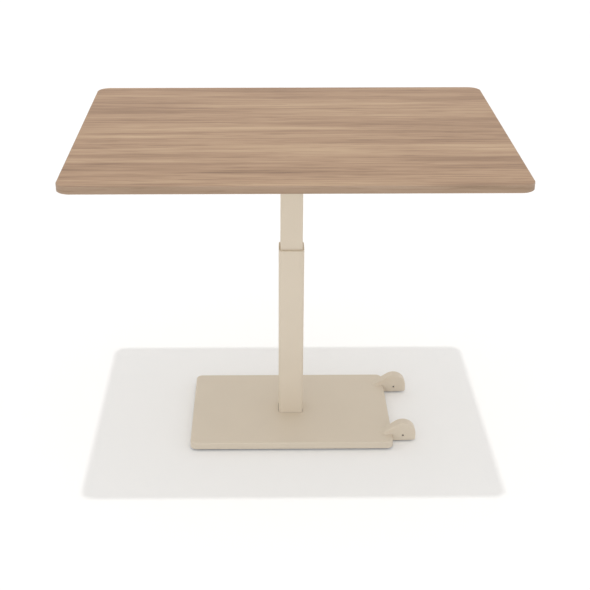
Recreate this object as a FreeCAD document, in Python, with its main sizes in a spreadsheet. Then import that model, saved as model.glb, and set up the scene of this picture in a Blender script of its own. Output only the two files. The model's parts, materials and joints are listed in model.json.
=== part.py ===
import FreeCAD, Part
import math
import os
import Sketcher
from types import SimpleNamespace
from FreeCAD import Placement, Rotation, Vector

# A pedestal table whose worktop rises and sinks on a telescoping column.
# Millimetres, +Z up, origin on the floor under the middle of the worktop. The length of the
# table runs along X, the wheels are at its +X end, and the user stands at -Y.
# The table is drawn at its full height.

SIZES = (
    ("top_length", 1219.0, "worktop, left to right"),
    ("top_width", 914.0, "worktop, front to back"),
    ("top_height", 945.0, "floor to writing surface, column fully out"),
    ("top_thickness", 20.6, "worktop, all layers"),
    ("top_corner", 38.0, "worktop corner in plan"),
    ("laminate", 0.8, "decorative sheet on top"),
    ("backer", 0.8, "balancing sheet below"),
    ("band", 2.0, "edge band thickness"),
    ("arris", 1.6, "rounding of the edge band"),
    ("travel", 305.0, "lift of the worktop"),
    ("lowest_gap", 2.0, "head plate over the column rim, column fully in"),
    ("rail_height", 25.0, "support rails and arms"),
    ("rail_width", 40.0, "support rails and arms"),
    ("rail_wall", 2.0, "support rails and arms"),
    ("rail_length", 760.0, "support rail, left to right"),
    ("rail_spread", 140.0, "middle of one rail to middle of the other"),
    ("arm_length", 560.0, "end arm, front to back"),
    ("arm_cap", 3.0, "plastic cap on the end of an arm"),
    ("cap_plug", 12.0, "part of the cap inside the arm"),
    ("head_length", 240.0, "head plate, left to right"),
    ("head_width", 200.0, "head plate, front to back"),
    ("head_thickness", 6.0, "head plate"),
    ("head_corner", 12.0, "head plate"),
    ("column_length", 76.0, "outer tube, left to right"),
    ("column_width", 70.0, "outer tube, front to back"),
    ("column_corner", 10.0, "outer tube, outside corner"),
    ("column_wall", 2.5, "outer tube"),
    ("guide_space", 2.5, "between the outer and inner tube, each side"),
    ("inner_wall", 2.0, "inner tube"),
    ("tube_overlap", 168.0, "inner tube left inside at full height"),
    ("bush_length", 60.0, "upper guide bush inside the tube"),
    ("bush_rim", 3.0, "rim of the bush over the tube"),
    ("sleeve_length", 50.0, "lower guide sleeve"),
    ("running_gap", 0.3, "between surfaces that slide"),
    ("seat_gap", 0.1, "between surfaces that are pressed together"),
    ("base_length", 618.0, "base cover, left to right"),
    ("base_width", 420.0, "base cover, front to back"),
    ("base_depth", 22.0, "base cover, top to rim"),
    ("base_corner", 20.0, "base cover corner in plan"),
    ("base_edge", 4.0, "rounding of the cover's top edge"),
    ("cover_wall", 2.0, "base cover sheet"),
    ("shadow_gap", 6.0, "floor to the rim of the cover"),
    ("ballast_thickness", 12.0, "steel ballast plate"),
    ("ballast_gap", 0.8, "ballast plate to cover wall"),
    ("foot_length", 180.0, "column foot plate, left to right"),
    ("foot_width", 160.0, "column foot plate, front to back"),
    ("foot_thickness", 6.0, "column foot plate"),
    ("foot_corner", 10.0, "column foot plate"),
    ("cover_hole_gap", 0.8, "cover to column, all round"),
    ("foot_bolt_radius", 4.0, "bolt up into the foot plate"),
    ("foot_bolt_head_radius", 6.5, "cap head"),
    ("foot_bolt_head", 5.0, "cap head height"),
    ("foot_bolt_reach_x", 70.0, "bolt from the middle"),
    ("foot_bolt_reach_y", 60.0, "bolt from the middle"),
    ("counterbore_gap", 1.0, "room round a sunk head"),
    ("thread_gap", 0.1, "room round a screw shank"),
    ("glide_radius", 17.0, "floor glide"),
    ("glide_flare", 2.5, "bevel at the floor"),
    ("glide_reach_x", 262.0, "glide from the middle"),
    ("glide_reach_y", 168.0, "glide from the middle"),
    ("glide_screw_radius", 2.5, "screw through the glide"),
    ("glide_screw_head", 4.5, "radius of its head"),
    ("glide_screw_head_height", 2.6, "height of its head"),
    ("glide_screw_recess", 1.4, "head sunk above the floor"),
    ("spacer_radius", 9.0, "spacer between ballast and cover"),
    ("cover_screw_radius", 2.5, "screw up into a spacer"),
    ("cover_screw_head", 4.5, "radius of its head"),
    ("cover_screw_head_height", 2.8, "height of its head"),
    ("cover_screw_reach_x", 225.0, "cover screw from the middle"),
    ("cover_screw_reach_y", 150.0, "cover screw from the middle"),
    ("riser_height", 150.0, "post under the gas spring"),
    ("riser_radius", 13.0, "post"),
    ("riser_wall", 3.0, "post"),
    ("riser_flange_radius", 27.0, "flange of the post"),
    ("riser_flange", 5.0, "flange thickness"),
    ("riser_screw_circle", 20.0, "screws in the flange"),
    ("riser_screw_radius", 2.5, "flange screw"),
    ("riser_screw_head", 4.5, "radius of its head"),
    ("riser_screw_head_height", 3.0, "height of its head"),
    ("spring_radius", 14.0, "gas spring cylinder"),
    ("spring_wall", 1.3, "gas spring cylinder"),
    ("spring_length", 384.0, "gas spring cylinder"),
    ("spring_floor", 8.0, "closed end of the cylinder"),
    ("spring_rim", 2.0, "rolled rim of the cylinder"),
    ("spring_mouth", 1.0, "room between the rolled rim and the rod"),
    ("spring_stud_radius", 4.0, "stud under the cylinder"),
    ("spring_stud", 14.0, "length of the stud"),
    ("riser_plug", 12.0, "plug in the top of the post"),
    ("rod_radius", 5.0, "gas spring rod"),
    ("rod_guide_length", 20.0, "rod guide and seal"),
    ("piston_length", 20.0, "piston"),
    ("piston_stop_gap", 2.0, "piston under the guide, column fully out"),
    ("piston_groove", 1.2, "depth of the ring groove"),
    ("piston_groove_width", 5.0, "ring groove"),
    ("rod_projection", 6.0, "rod end over the head plate"),
    ("rod_nut_radius", 8.5, "half the width across flats"),
    ("rod_nut_height", 5.0, "nut each side of the head plate"),
    ("pin_radius", 1.5, "release pin in the rod"),
    ("pin_length", 60.0, "release pin"),
    ("pin_projection", 4.0, "release pin over the rod end"),
    ("pin_travel", 2.6, "how far the pin is pressed"),
    ("pin_end_gap", 1.0, "bore beyond the pressed pin"),
    ("housing_width", 32.0, "wheel housing, front to back"),
    ("housing_reach", 149.0, "wheel housing from the middle of the base"),
    ("housing_crown", 39.0, "radius of the housing's round top"),
    ("crown_rise", 3.5, "centre of the round top over the axle"),
    ("housing_nose", 35.0, "nose on the cover, in from the cover's end"),
    ("housing_edge", 5.0, "rounding of the housing"),
    ("housing_gap", 3.5, "floor to the housing's lower edge"),
    ("housing_lip_rise", 2.5, "outer end of the lower edge over its inner end"),
    ("housing_seat", 0.2, "housing to cover"),
    ("axle_out", 33.5, "axle beyond the cover's end"),
    ("axle_height", 23.5, "axle over the floor"),
    ("axle_radius", 2.95, "wheel axle"),
    ("axle_recess", 3.0, "axle end inside the housing wall"),
    ("axle_fit", 0.05, "wheel bore over the axle, radius"),
    ("wheel_radius", 22.0, "over the tyre"),
    ("wheel_width", 17.0, "wheel"),
    ("hub_radius", 16.5, "wheel hub under the tyre"),
    ("hub_dish", 4.0, "dished face of the hub"),
    ("hub_boss_radius", 6.5, "boss round the bore"),
    ("tyre_round", 3.0, "rounding of the tread"),
    ("wheel_well_gap", 2.5, "wheel to the well, round and each side"),
    ("housing_screw_inset", 13.0, "screw in from the cover's end"),
    ("housing_screw_spread", 16.0, "between the two screws"),
    ("housing_screw_radius", 2.5, "screw up into the housing"),
    ("housing_screw_head", 4.5, "radius of its head"),
    ("housing_screw_head_height", 2.8, "height of its head"),
    ("housing_screw_bite", 8.0, "screw inside the housing"),
    ("housing_screw_end_gap", 1.0, "hole beyond the screw's end"),
    ("top_screw_radius", 2.25, "wood screw"),
    ("top_screw_bite", 12.0, "wood screw inside the board"),
    ("top_screw_head", 4.5, "radius of its head"),
    ("top_screw_head_height", 2.5, "height of its head"),
    ("driver_hole", 6.5, "radius of the access hole"),
    ("rail_screw_radius", 3.0, "screw up through the head plate"),
    ("rail_screw_head", 5.0, "radius of its head"),
    ("rail_screw_head_height", 3.0, "height of its head"),
    ("rail_screw_offset", 90.0, "rail screw from the middle, left and right"),
    ("rail_screw_end", 5.0, "screw end over the rail's lower wall"),
    ("lever_x", 180.0, "paddle, right of the middle"),
    ("lever_inset", 157.0, "paddle pivot in from the front edge"),
    ("lever_drop", 8.0, "paddle pivot under the worktop"),
    ("paddle_reach", 95.0, "paddle, pivot to tip"),
    ("paddle_width", 80.0, "paddle, left to right"),
    ("paddle_thickness", 7.0, "paddle plate"),
    ("paddle_drop", 7.5, "top of the paddle tip under its pivot"),
    ("paddle_corner", 14.0, "paddle tip corner in plan"),
    ("paddle_hub_radius", 5.0, "round the pivot"),
    ("paddle_hub_width", 40.0, "along the pivot"),
    ("paddle_root", 13.0, "blade's back edge before the pivot"),
    ("paddle_neck", 3.5, "half the neck's height over the pivot"),
    ("paddle_arm_half", 4.5, "half the arm's thickness at the pivot"),
    ("paddle_arm", 13.0, "pivot down to the wire"),
    ("paddle_angle", 8.0, "degrees that the paddle turns"),
    ("pivot_radius", 2.5, "paddle pivot pin"),
    ("pivot_fit", 0.05, "bore over pivot pin, radius"),
    ("cheek", 2.5, "bracket sheet"),
    ("cheek_gap", 0.5, "bracket cheek to what turns in it"),
    ("bracket_back", 45.0, "paddle bracket behind the pivot"),
    ("bracket_front", 5.5, "paddle bracket plate before the pivot"),
    ("bracket_flange", 18.0, "paddle bracket flange beyond the cheek"),
    ("bracket_screw_inset", 9.0, "screw in from the flange's end"),
    ("stop_back", 32.0, "cable stop behind the paddle pivot"),
    ("stop_width", 14.0, "cable stop tab"),
    ("rocker_back", 18.0, "rocker pivot behind the release pin"),
    ("rocker_rise", 6.0, "rocker pivot over the head plate"),
    ("rocker_arm", 13.0, "rocker pivot up to the wire"),
    ("rocker_width", 8.0, "rocker, left to right"),
    ("rocker_hub_radius", 4.5, "round the rocker pivot"),
    ("rocker_nose", 3.0, "radius of the nose over the pin"),
    ("rocker_pin_radius", 2.0, "rocker pivot pin"),
    ("fork_slot", 3.0, "slot between the two cheeks of a fork"),
    ("fork_wall", 1.5, "fork round the barrel"),
    ("barrel_radius", 2.5, "barrel on the end of the wire"),
    ("barrel_gap", 0.45, "fork hole over the barrel, radius"),
    ("wire_radius", 0.75, "release wire"),
    ("wire_gap", 0.45, "sheath bore over the wire, radius"),
    ("wire_in_sheath", 10.0, "straight end of the wire inside the sheath"),
    ("wire_room", 3.0, "bore beyond the wire's end, for its travel"),
    ("release_stop", 22.0, "cable stop before the release pin"),
    ("release_back", 49.0, "release bracket behind the release pin"),
    ("release_wing", 14.0, "release bracket flange beyond the cheek"),
    ("sheath_radius", 2.5, "cable sheath"),
    ("rail_cable_hole", 3.4, "radius of the hole for the cable"),
    ("ferrule_radius", 3.6, "ferrule round the sheath end"),
    ("ferrule_length", 8.0, "ferrule"),
    ("small_screw_radius", 1.75, "bracket screw"),
    ("small_screw_head", 3.5, "radius of its head"),
    ("small_screw_head_height", 2.0, "height of its head"),
    ("small_screw_bite", 11.0, "bracket screw inside the board"),
    ("clip_wall", 1.8, "cable clip"),
    ("clip_width", 6.0, "cable clip, along the cable"),
    ("clip_foot", 12.0, "cable clip foot beside the cable"),
)

doc = FreeCAD.newDocument("PedestalTable")
sheet = doc.addObject("Spreadsheet::Sheet", "Sizes")
for row, (name, number, note) in enumerate(SIZES, start=1):
    sheet.set("A%d" % row, note)
    sheet.set("B%d" % row, str(number))
    sheet.setAlias("B%d" % row, name)
doc.recompute()


class Size:
    """A length, with its number and with the formula that ties it to the sheet."""

    def __init__(self, number, formula):
        self.number = number
        self.formula = formula

    def __add__(self, other):
        other = as_size(other)
        return Size(self.number + other.number, "(%s + %s)" % (self.formula, other.formula))

    def __sub__(self, other):
        other = as_size(other)
        return Size(self.number - other.number, "(%s - %s)" % (self.formula, other.formula))

    def __mul__(self, other):
        other = as_size(other)
        return Size(self.number * other.number, "(%s * %s)" % (self.formula, other.formula))

    def __truediv__(self, other):
        other = as_size(other)
        return Size(self.number / other.number, "(%s / %s)" % (self.formula, other.formula))

    def __radd__(self, other):
        return as_size(other) + self

    def __rsub__(self, other):
        return as_size(other) - self

    def __rmul__(self, other):
        return as_size(other) * self

    def __neg__(self):
        return as_size(0) - self


def as_size(value):
    if isinstance(value, Size):
        return value
    return Size(float(value), "%.6f" % value)


S = SimpleNamespace(**{name: Size(number, "Sizes." + name) for name, number, note in SIZES})

# Levels over the floor and sizes that follow from the driving ones.
top_underside = S.top_height - S.top_thickness
rail_level = top_underside - S.rail_height
head_level = rail_level - S.head_thickness
rim_level = head_level - S.travel - S.lowest_gap
column_top = rim_level - S.bush_rim
base_top = S.shadow_gap + S.base_depth
foot_level = base_top - S.cover_wall - S.foot_thickness
column_foot = foot_level + S.foot_thickness
ballast_level = foot_level - S.ballast_thickness
ballast_length = S.base_length - 2 * (S.cover_wall + S.ballast_gap)
ballast_width = S.base_width - 2 * (S.cover_wall + S.ballast_gap)
base_end = S.base_length / 2

bore_length = S.column_length - 2 * S.column_wall
bore_width = S.column_width - 2 * S.column_wall
bore_corner = S.column_corner - S.column_wall
inner_length = bore_length - 2 * S.guide_space
inner_width = bore_width - 2 * S.guide_space
inner_corner = bore_corner - S.guide_space
inner_foot = column_top - S.tube_overlap
inner_height = head_level - inner_foot

spring_foot = column_foot + S.riser_height
spring_top = spring_foot + S.spring_length
spring_bore = S.spring_radius - S.spring_wall
guide_foot = spring_top - S.spring_rim - S.rod_guide_length
piston_top = guide_foot - S.piston_stop_gap
piston_foot = piston_top - S.piston_length
rod_end = rail_level + S.rod_projection
pin_end = rod_end + S.pin_projection

axle_x = base_end + S.axle_out
crown_level = S.axle_height + S.crown_rise
well_radius = S.wheel_radius + S.wheel_well_gap
housing_screw_x = base_end - S.housing_screw_inset

lever_y = S.lever_inset - S.top_width / 2
lever_z = top_underside - S.lever_drop
paddle_wire_z = lever_z - S.paddle_arm
rocker_z = rail_level + S.rocker_rise
rocker_wire_z = rocker_z + S.rocker_arm
rocker_y = S.rocker_back
paddle_stop_y = lever_y + S.stop_back
release_stop_y = -S.release_stop

UPRIGHT = Rotation()
ALONG_X = Rotation(Vector(0, 1, 0), 90)
ALONG_Y = Rotation(Vector(1, 0, 0), -90)
BOTH_SIDES = (1, -1)
SIDE_NAMES = {1: "plus", -1: "minus"}

nodes = []


def node(thing, label):
    """Registers a finished sub-part under the name that it is known by."""
    thing.Label = label
    nodes.append(thing)
    return thing


def bind(thing, **sizes):
    for name, value in sizes.items():
        thing.setExpression(name, as_size(value).formula)


def place(thing, x=0, y=0, z=0, turn=UPRIGHT):
    thing.Placement = Placement(Vector(), turn)
    for axis, value in zip("xyz", (x, y, z)):
        thing.setExpression("Placement.Base." + axis, as_size(value).formula)


def box(name, size_x, size_y, size_z, x=0, y=0, z=0):
    """A block centred on x and y that stands on z."""
    block = doc.addObject("Part::Box", name)
    size_x = as_size(size_x)
    size_y = as_size(size_y)
    bind(block, Length=size_x, Width=size_y, Height=size_z)
    place(block, x - size_x / 2, y - size_y / 2, z)
    return block


def rod(name, radius, length, x=0, y=0, z=0, turn=UPRIGHT):
    """A round bar that starts at the given point."""
    bar = doc.addObject("Part::Cylinder", name)
    bind(bar, Radius=radius, Height=length)
    place(bar, x, y, z, turn)
    return bar


def fuse(name, *pieces):
    joined = doc.addObject("Part::MultiFuse", name)
    joined.Shapes = list(pieces)
    joined.Refine = True
    return joined


def cut(name, base, *tools):
    tool = tools[0]
    if len(tools) > 1:
        tool = doc.addObject("Part::Compound", name + "_tools")
        tool.Links = list(tools)
    carved = doc.addObject("Part::Cut", name)
    carved.Base = base
    carved.Tool = tool
    return carved


def group(name, pieces):
    """Separate identical solids that share one name."""
    together = doc.addObject("Part::Compound", name)
    together.Links = list(pieces)
    return node(together, name)


def body(label, x=0, y=0, z=0):
    part = doc.addObject("PartDesign::Body", label)
    place(part, x, y, z)
    return node(part, label)


def sketch(part, name, role="XY_Plane", lift=0):
    """A drawing on one of the body's own origin planes, moved along that plane's normal."""
    drawing = part.newObject("Sketcher::SketchObject", part.Name + "_" + name)
    plane = next(face for face in part.Origin.OriginFeatures if face.Role == role)
    drawing.AttachmentSupport = [(plane, "")]
    drawing.MapMode = "FlatFace"
    drawing.setExpression("AttachmentOffset.Base.z", as_size(lift).formula)
    return drawing


def dimension(drawing, kind, first, second, value):
    """Holds one point from another at a size of the sheet."""
    index = drawing.addConstraint(Sketcher.Constraint(kind, *first, *second, value.number))
    name = "size%d" % index
    drawing.renameConstraint(index, name)
    drawing.setExpression("Constraints." + name, value.formula)


def radius_of(drawing, curve, value):
    index = drawing.addConstraint(Sketcher.Constraint("Radius", curve, value.number))
    name = "size%d" % index
    drawing.renameConstraint(index, name)
    drawing.setExpression("Constraints." + name, value.formula)


ORIGIN = (-1, 1)
START, END, CENTRE = 1, 2, 3


def pin(drawing, point, x, y):
    """Holds a point at x and y from the sketch's origin."""
    for kind, axis, value in (("DistanceX", -2, as_size(x)), ("DistanceY", -1, as_size(y))):
        if value.number == 0:
            drawing.addConstraint(Sketcher.Constraint("PointOnObject", *point, axis))
        elif value.number > 0:
            dimension(drawing, kind, ORIGIN, point, value)
        else:
            dimension(drawing, kind, point, ORIGIN, -value)


def polygon(drawing, *corners):
    """A closed outline of straight lines, each corner held at its sizes."""
    spots = [Vector(as_size(x).number, as_size(y).number, 0) for x, y in corners]
    first = drawing.GeometryCount
    for i, spot in enumerate(spots):
        drawing.addGeometry(Part.LineSegment(spot, spots[(i + 1) % len(spots)]))
    for i, (x, y) in enumerate(corners):
        following = first + (i + 1) % len(spots)
        drawing.addConstraint(Sketcher.Constraint("Coincident", first + i, END, following, START))
        pin(drawing, (first + i, START), x, y)


def circle(drawing, radius, x=0, y=0):
    centre = Vector(as_size(x).number, as_size(y).number, 0)
    curve = drawing.addGeometry(Part.Circle(centre, Vector(0, 0, 1), radius.number))
    radius_of(drawing, curve, radius)
    pin(drawing, (curve, CENTRE), x, y)


def rounded_rectangle(drawing, length, width, radius, x=0, y=0):
    """Four lines and four tangent corner arcs, centred on x and y."""
    left, right = x - length / 2, x + length / 2
    low, high = y - width / 2, y + width / 2
    r = radius.number
    bends = (
        (right.number - r, low.number + r, -90),
        (right.number - r, high.number - r, 0),
        (left.number + r, high.number - r, 90),
        (left.number + r, low.number + r, 180),
    )
    arcs = []
    for centre_x, centre_y, start in bends:
        ring = Part.Circle(Vector(centre_x, centre_y, 0), Vector(0, 0, 1), r)
        sweep = (math.radians(start), math.radians(start + 90))
        arcs.append(drawing.addGeometry(Part.ArcOfCircle(ring, *sweep)))
    sides = []
    for i, arc in enumerate(arcs):
        following = arcs[(i + 1) % 4]
        start = drawing.getPoint(arc, END)
        finish = drawing.getPoint(following, START)
        side = drawing.addGeometry(Part.LineSegment(start, finish))
        drawing.addConstraint(Sketcher.Constraint("Tangent", arc, END, side, START))
        drawing.addConstraint(Sketcher.Constraint("Tangent", side, END, following, START))
        drawing.addConstraint(Sketcher.Constraint("Vertical" if i % 2 == 0 else "Horizontal", side))
        sides.append(side)
    for arc in arcs[1:]:
        drawing.addConstraint(Sketcher.Constraint("Equal", arcs[0], arc))
    radius_of(drawing, arcs[0], radius)
    dimension(drawing, "DistanceX", ORIGIN, (sides[0], START), right)
    dimension(drawing, "DistanceY", ORIGIN, (sides[1], START), high)
    dimension(drawing, "DistanceX", (sides[2], START), ORIGIN, -left)
    dimension(drawing, "DistanceY", (sides[3], START), ORIGIN, -low)


def pad(part, drawing, length, symmetric=False):
    feature = part.newObject("PartDesign::Pad", drawing.Name + "_pad")
    feature.Profile = drawing
    feature.SideType = "Symmetric" if symmetric else "One side"
    bind(feature, Length=length)
    return feature


def pocket(part, drawing, depth, symmetric=False, upwards=False):
    """Cuts a drawing's outline out of the body, below the drawing unless told otherwise."""
    feature = part.newObject("PartDesign::Pocket", drawing.Name + "_pocket")
    feature.Profile = drawing
    feature.SideType = "Symmetric" if symmetric else "One side"
    feature.Reversed = upwards
    bind(feature, Length=depth)
    return feature


def revolve(part, drawing, axis="V_Axis"):
    feature = part.newObject("PartDesign::Revolution", drawing.Name + "_turned")
    feature.Profile = drawing
    feature.ReferenceAxis = (drawing, [axis])
    feature.Angle = 360
    return feature


def rounded_edges(part, base, radius, chosen):
    """Rounds the edges of a feature for which chosen(edge) is true."""
    doc.recompute()
    names = ["Edge%d" % i for i, edge in enumerate(base.Shape.Edges, start=1) if chosen(edge)]
    feature = part.newObject("PartDesign::Fillet", base.Name + "_fillet")
    feature.Base = (base, names)
    bind(feature, Radius=radius)
    return feature


def level(edge, z):
    """True for an edge that lies flat at height z of its body."""
    limits = edge.BoundBox
    return abs(limits.ZMin - z.number) < 1e-4 and abs(limits.ZMax - z.number) < 1e-4


def plate(label, length, width, thickness, corner, z):
    """A flat plate with rounded corners that lies at level z."""
    part = body(label, z=z)
    outline = sketch(part, "outline")
    rounded_rectangle(outline, length, width, corner)
    pad(part, outline, thickness)
    return part


def holes(part, name, radius, spots, depth, lift=0, upwards=False):
    """Round holes of one size, drilled from one level."""
    drawing = sketch(part, name, lift=lift)
    for x, y in spots:
        circle(drawing, as_size(radius), x, y)
    return pocket(part, drawing, depth, upwards=upwards)


def corners_of(reach_x, reach_y):
    return [(i * reach_x, j * reach_y) for i in BOTH_SIDES for j in BOTH_SIDES]


def screw(name, shank, length, head, head_height, x, y, z):
    """A screw that points up, its head's underside at z."""
    stem = rod(name + "_shank", shank, length, x, y, z)
    cap = rod(name + "_head", head, head_height, x, y, z - head_height)
    return fuse(name, stem, cap)


def screws(label, spots, shank, length, head, head_height, z):
    made = []
    for i, (x, y) in enumerate(spots, start=1):
        made.append(screw("%s_%d" % (label, i), shank, length, head, head_height, x, y, z))
    return group(label, made)


# ---------------------------------------------------------------- worktop

band_inside_length = S.top_length - 2 * S.band
band_inside_width = S.top_width - 2 * S.band
band_inside_corner = S.top_corner - S.band
core_thickness = S.top_thickness - S.laminate - S.backer
core_level = top_underside + S.backer
frame_inset = S.rail_width / 2
arm_x = S.rail_length / 2 + frame_inset
arm_screw_y = S.arm_length / 2 - S.rail_width
top_screw_spots = corners_of(arm_x, arm_screw_y) + corners_of(S.rail_length / 4, S.rail_spread / 2)
paddle_cheek_x = S.paddle_hub_width / 2 + S.cheek_gap
bracket_screw_x = paddle_cheek_x + S.cheek + S.bracket_flange / 2
bracket_screw_spots = [
    (S.lever_x + side * bracket_screw_x, lever_y + y)
    for side in BOTH_SIDES
    for y in (S.bracket_screw_inset, S.bracket_back - S.bracket_screw_inset)
]


def make_worktop():
    """A board between two laminate sheets, with a band round its edge."""
    for label, thickness, z in (
        ("top_core", core_thickness, core_level),
        ("top_laminate", S.laminate, core_level + core_thickness),
        ("top_backer", S.backer, top_underside),
    ):
        part = plate(label, band_inside_length, band_inside_width, thickness, band_inside_corner, z)
        if label == "top_laminate":
            continue
        depth = S.top_screw_bite + S.thread_gap - S.backer if label == "top_core" else thickness
        holes(part, "screw_holes", S.top_screw_radius + S.thread_gap, top_screw_spots, depth, upwards=True)
        depth = S.small_screw_bite + S.thread_gap - S.backer if label == "top_core" else thickness
        spots = bracket_screw_spots + clip_screw_spots
        holes(part, "bracket_holes", S.small_screw_radius + S.thread_gap, spots, depth, upwards=True)

    ring = body("edge_band", z=top_underside)
    outline = sketch(ring, "outline")
    rounded_rectangle(outline, S.top_length, S.top_width, S.top_corner)
    pad(ring, outline, S.top_thickness)
    inside = sketch(ring, "inside", lift=S.top_thickness)
    rounded_rectangle(inside, band_inside_length, band_inside_width, band_inside_corner)
    opened = pocket(ring, inside, S.top_thickness)
    outer = (S.top_length / 2).number - 1e-3
    corner_reach = (S.top_length / 2 - S.top_corner).number

    def on_outer_arris(edge):
        if not (level(edge, as_size(0)) or level(edge, S.top_thickness)):
            return False
        middle = edge.valueAt((edge.FirstParameter + edge.LastParameter) / 2)
        across = (S.top_width / 2).number - 1e-3
        if abs(middle.x) > outer or abs(middle.y) > across:
            return True
        round_corner = abs(middle.x) > corner_reach and abs(middle.y) > across - S.top_corner.number
        return round_corner and abs(edge.Curve.Radius - S.top_corner.number) < 1e-3

    rounded_edges(ring, opened, S.arris, on_outer_arris)


# ---------------------------------------------------------------- support frame

def tube(label, length, along_x, x, y, z):
    """A rectangular tube, open at both ends, centred on x and y."""
    part = body(label, x, y, z)
    profile = sketch(part, "profile", role="YZ_Plane" if along_x else "XZ_Plane")
    half = S.rail_width / 2
    wall = S.rail_wall
    polygon(profile, (-half, 0), (half, 0), (half, S.rail_height), (-half, S.rail_height))
    inside = half - wall
    roof = S.rail_height - wall
    polygon(profile, (-inside, wall), (inside, wall), (inside, roof), (-inside, roof))
    pad(part, profile, length, symmetric=True)
    return part


def make_frame():
    """Two rails over the head plate, with an arm across each of their ends."""
    for name, side in (("rear", 1), ("front", -1)):
        label = "support_rail_" + name
        rail = tube(label, S.rail_length, True, 0, side * S.rail_spread / 2, rail_level)
        spots = [(end * S.rail_length / 4, 0) for end in BOTH_SIDES]
        holes(rail, "driver_holes", S.driver_hole, spots, S.rail_wall, upwards=True)
        clear = S.top_screw_radius + S.thread_gap
        holes(rail, "screw_holes", clear, spots, S.rail_wall, lift=S.rail_height)
        spots = [(end * S.rail_screw_offset, 0) for end in BOTH_SIDES]
        clear = S.rail_screw_radius + S.thread_gap
        holes(rail, "plate_holes", clear, spots, S.rail_wall, upwards=True)
        if name == "front":
            passage = sketch(rail, "cable_passage", role="XZ_Plane")
            circle(passage, S.rail_cable_hole, 0, rocker_wire_z - rail_level)
            pocket(rail, passage, S.rail_width, symmetric=True)
    for name, side in (("right", 1), ("left", -1)):
        arm = tube("end_arm_" + name, S.arm_length, False, side * arm_x, 0, rail_level)
        spots = [(0, end * arm_screw_y) for end in BOTH_SIDES]
        holes(arm, "driver_holes", S.driver_hole, spots, S.rail_wall, upwards=True)
        clear = S.top_screw_radius + S.thread_gap
        holes(arm, "screw_holes", clear, spots, S.rail_wall, lift=S.rail_height)
    caps = []
    inside_width = S.rail_width - 2 * (S.rail_wall + S.seat_gap)
    inside_height = S.rail_height - 2 * (S.rail_wall + S.seat_gap)
    for i, (x, y) in enumerate(corners_of(arm_x, S.arm_length / 2), start=1):
        outwards = 1 if y.number > 0 else -1
        name = "arm_cap_%d" % i
        lid_y = y + outwards * S.arm_cap / 2
        lid = box(name + "_lid", S.rail_width, S.arm_cap, S.rail_height, x, lid_y, rail_level)
        plug_y = y - outwards * S.cap_plug / 2
        plug_z = rail_level + S.rail_wall + S.seat_gap
        plug = box(name + "_plug", inside_width, S.cap_plug, inside_height, x, plug_y, plug_z)
        caps.append(fuse(name, lid, plug))
    group("arm_end_caps", caps)
    seat = top_underside - S.rail_wall
    screws("worktop_screws", top_screw_spots, S.top_screw_radius, S.rail_wall + S.top_screw_bite,
           S.top_screw_head, S.top_screw_head_height, seat)
    spots = corners_of(S.rail_screw_offset, S.rail_spread / 2)
    length = S.head_thickness + S.rail_wall + S.rail_screw_end
    screws("rail_screws", spots, S.rail_screw_radius, length,
           S.rail_screw_head, S.rail_screw_head_height, head_level)


def make_head_plate():
    part = plate("head_plate", S.head_length, S.head_width, S.head_thickness, S.head_corner, head_level)
    spots = corners_of(S.rail_screw_offset, S.rail_spread / 2)
    clear = S.rail_screw_radius + S.thread_gap
    holes(part, "rail_holes", clear, spots, S.head_thickness, upwards=True)
    clear = S.rod_radius + S.thread_gap
    holes(part, "rod_hole", clear, [(0, 0)], S.head_thickness, upwards=True)
    clear = S.small_screw_radius + S.thread_gap
    holes(part, "bracket_holes", clear, release_screw_spots, S.head_thickness, upwards=True)


# ---------------------------------------------------------------- column

def sleeve_profile(part, name, outer, inner, length, z=0):
    """A rectangular tube standing on level z of its body; outer and inner are length, width, corner."""
    drawing = sketch(part, name, lift=z)
    rounded_rectangle(drawing, *outer)
    rounded_rectangle(drawing, *inner)
    return pad(part, drawing, length)


def grown(outline, gap):
    """The length, width and corner of an outline moved out by gap all round."""
    length, width, corner = outline
    return length + 2 * gap, width + 2 * gap, corner + gap


COLUMN = (S.column_length, S.column_width, S.column_corner)
BORE = (bore_length, bore_width, bore_corner)
INNER = (inner_length, inner_width, inner_corner)


def make_column():
    """The fixed outer tube, the rising inner tube and the two plastic guides between them."""
    outer = body("outer_tube", z=column_foot)
    sleeve_profile(outer, "profile", COLUMN, BORE, column_top - column_foot)

    inner = body("inner_tube", z=inner_foot)
    sleeve_profile(inner, "profile", INNER, grown(INNER, -S.inner_wall), inner_height)

    bush = body("upper_guide_bush", z=column_top)
    slide = grown(INNER, S.running_gap)
    pressed = grown(BORE, -S.seat_gap)
    sleeve_profile(bush, "sleeve", pressed, slide, S.bush_length, z=-S.bush_length)
    sleeve_profile(bush, "rim", grown(COLUMN, -S.seat_gap), slide, S.bush_rim)

    sleeve = body("lower_guide_sleeve", z=inner_foot)
    profile = (grown(BORE, -S.running_gap), grown(INNER, S.seat_gap))
    sleeve_profile(sleeve, "profile", *profile, S.sleeve_length)


# ---------------------------------------------------------------- gas spring

def turned(label, z, *outline):
    """A body turned round the Z axis from an outline of radius and height pairs."""
    part = body(label, z=z)
    drawing = sketch(part, "outline", role="XZ_Plane")
    polygon(drawing, *outline)
    revolve(part, drawing)
    return part


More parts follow.
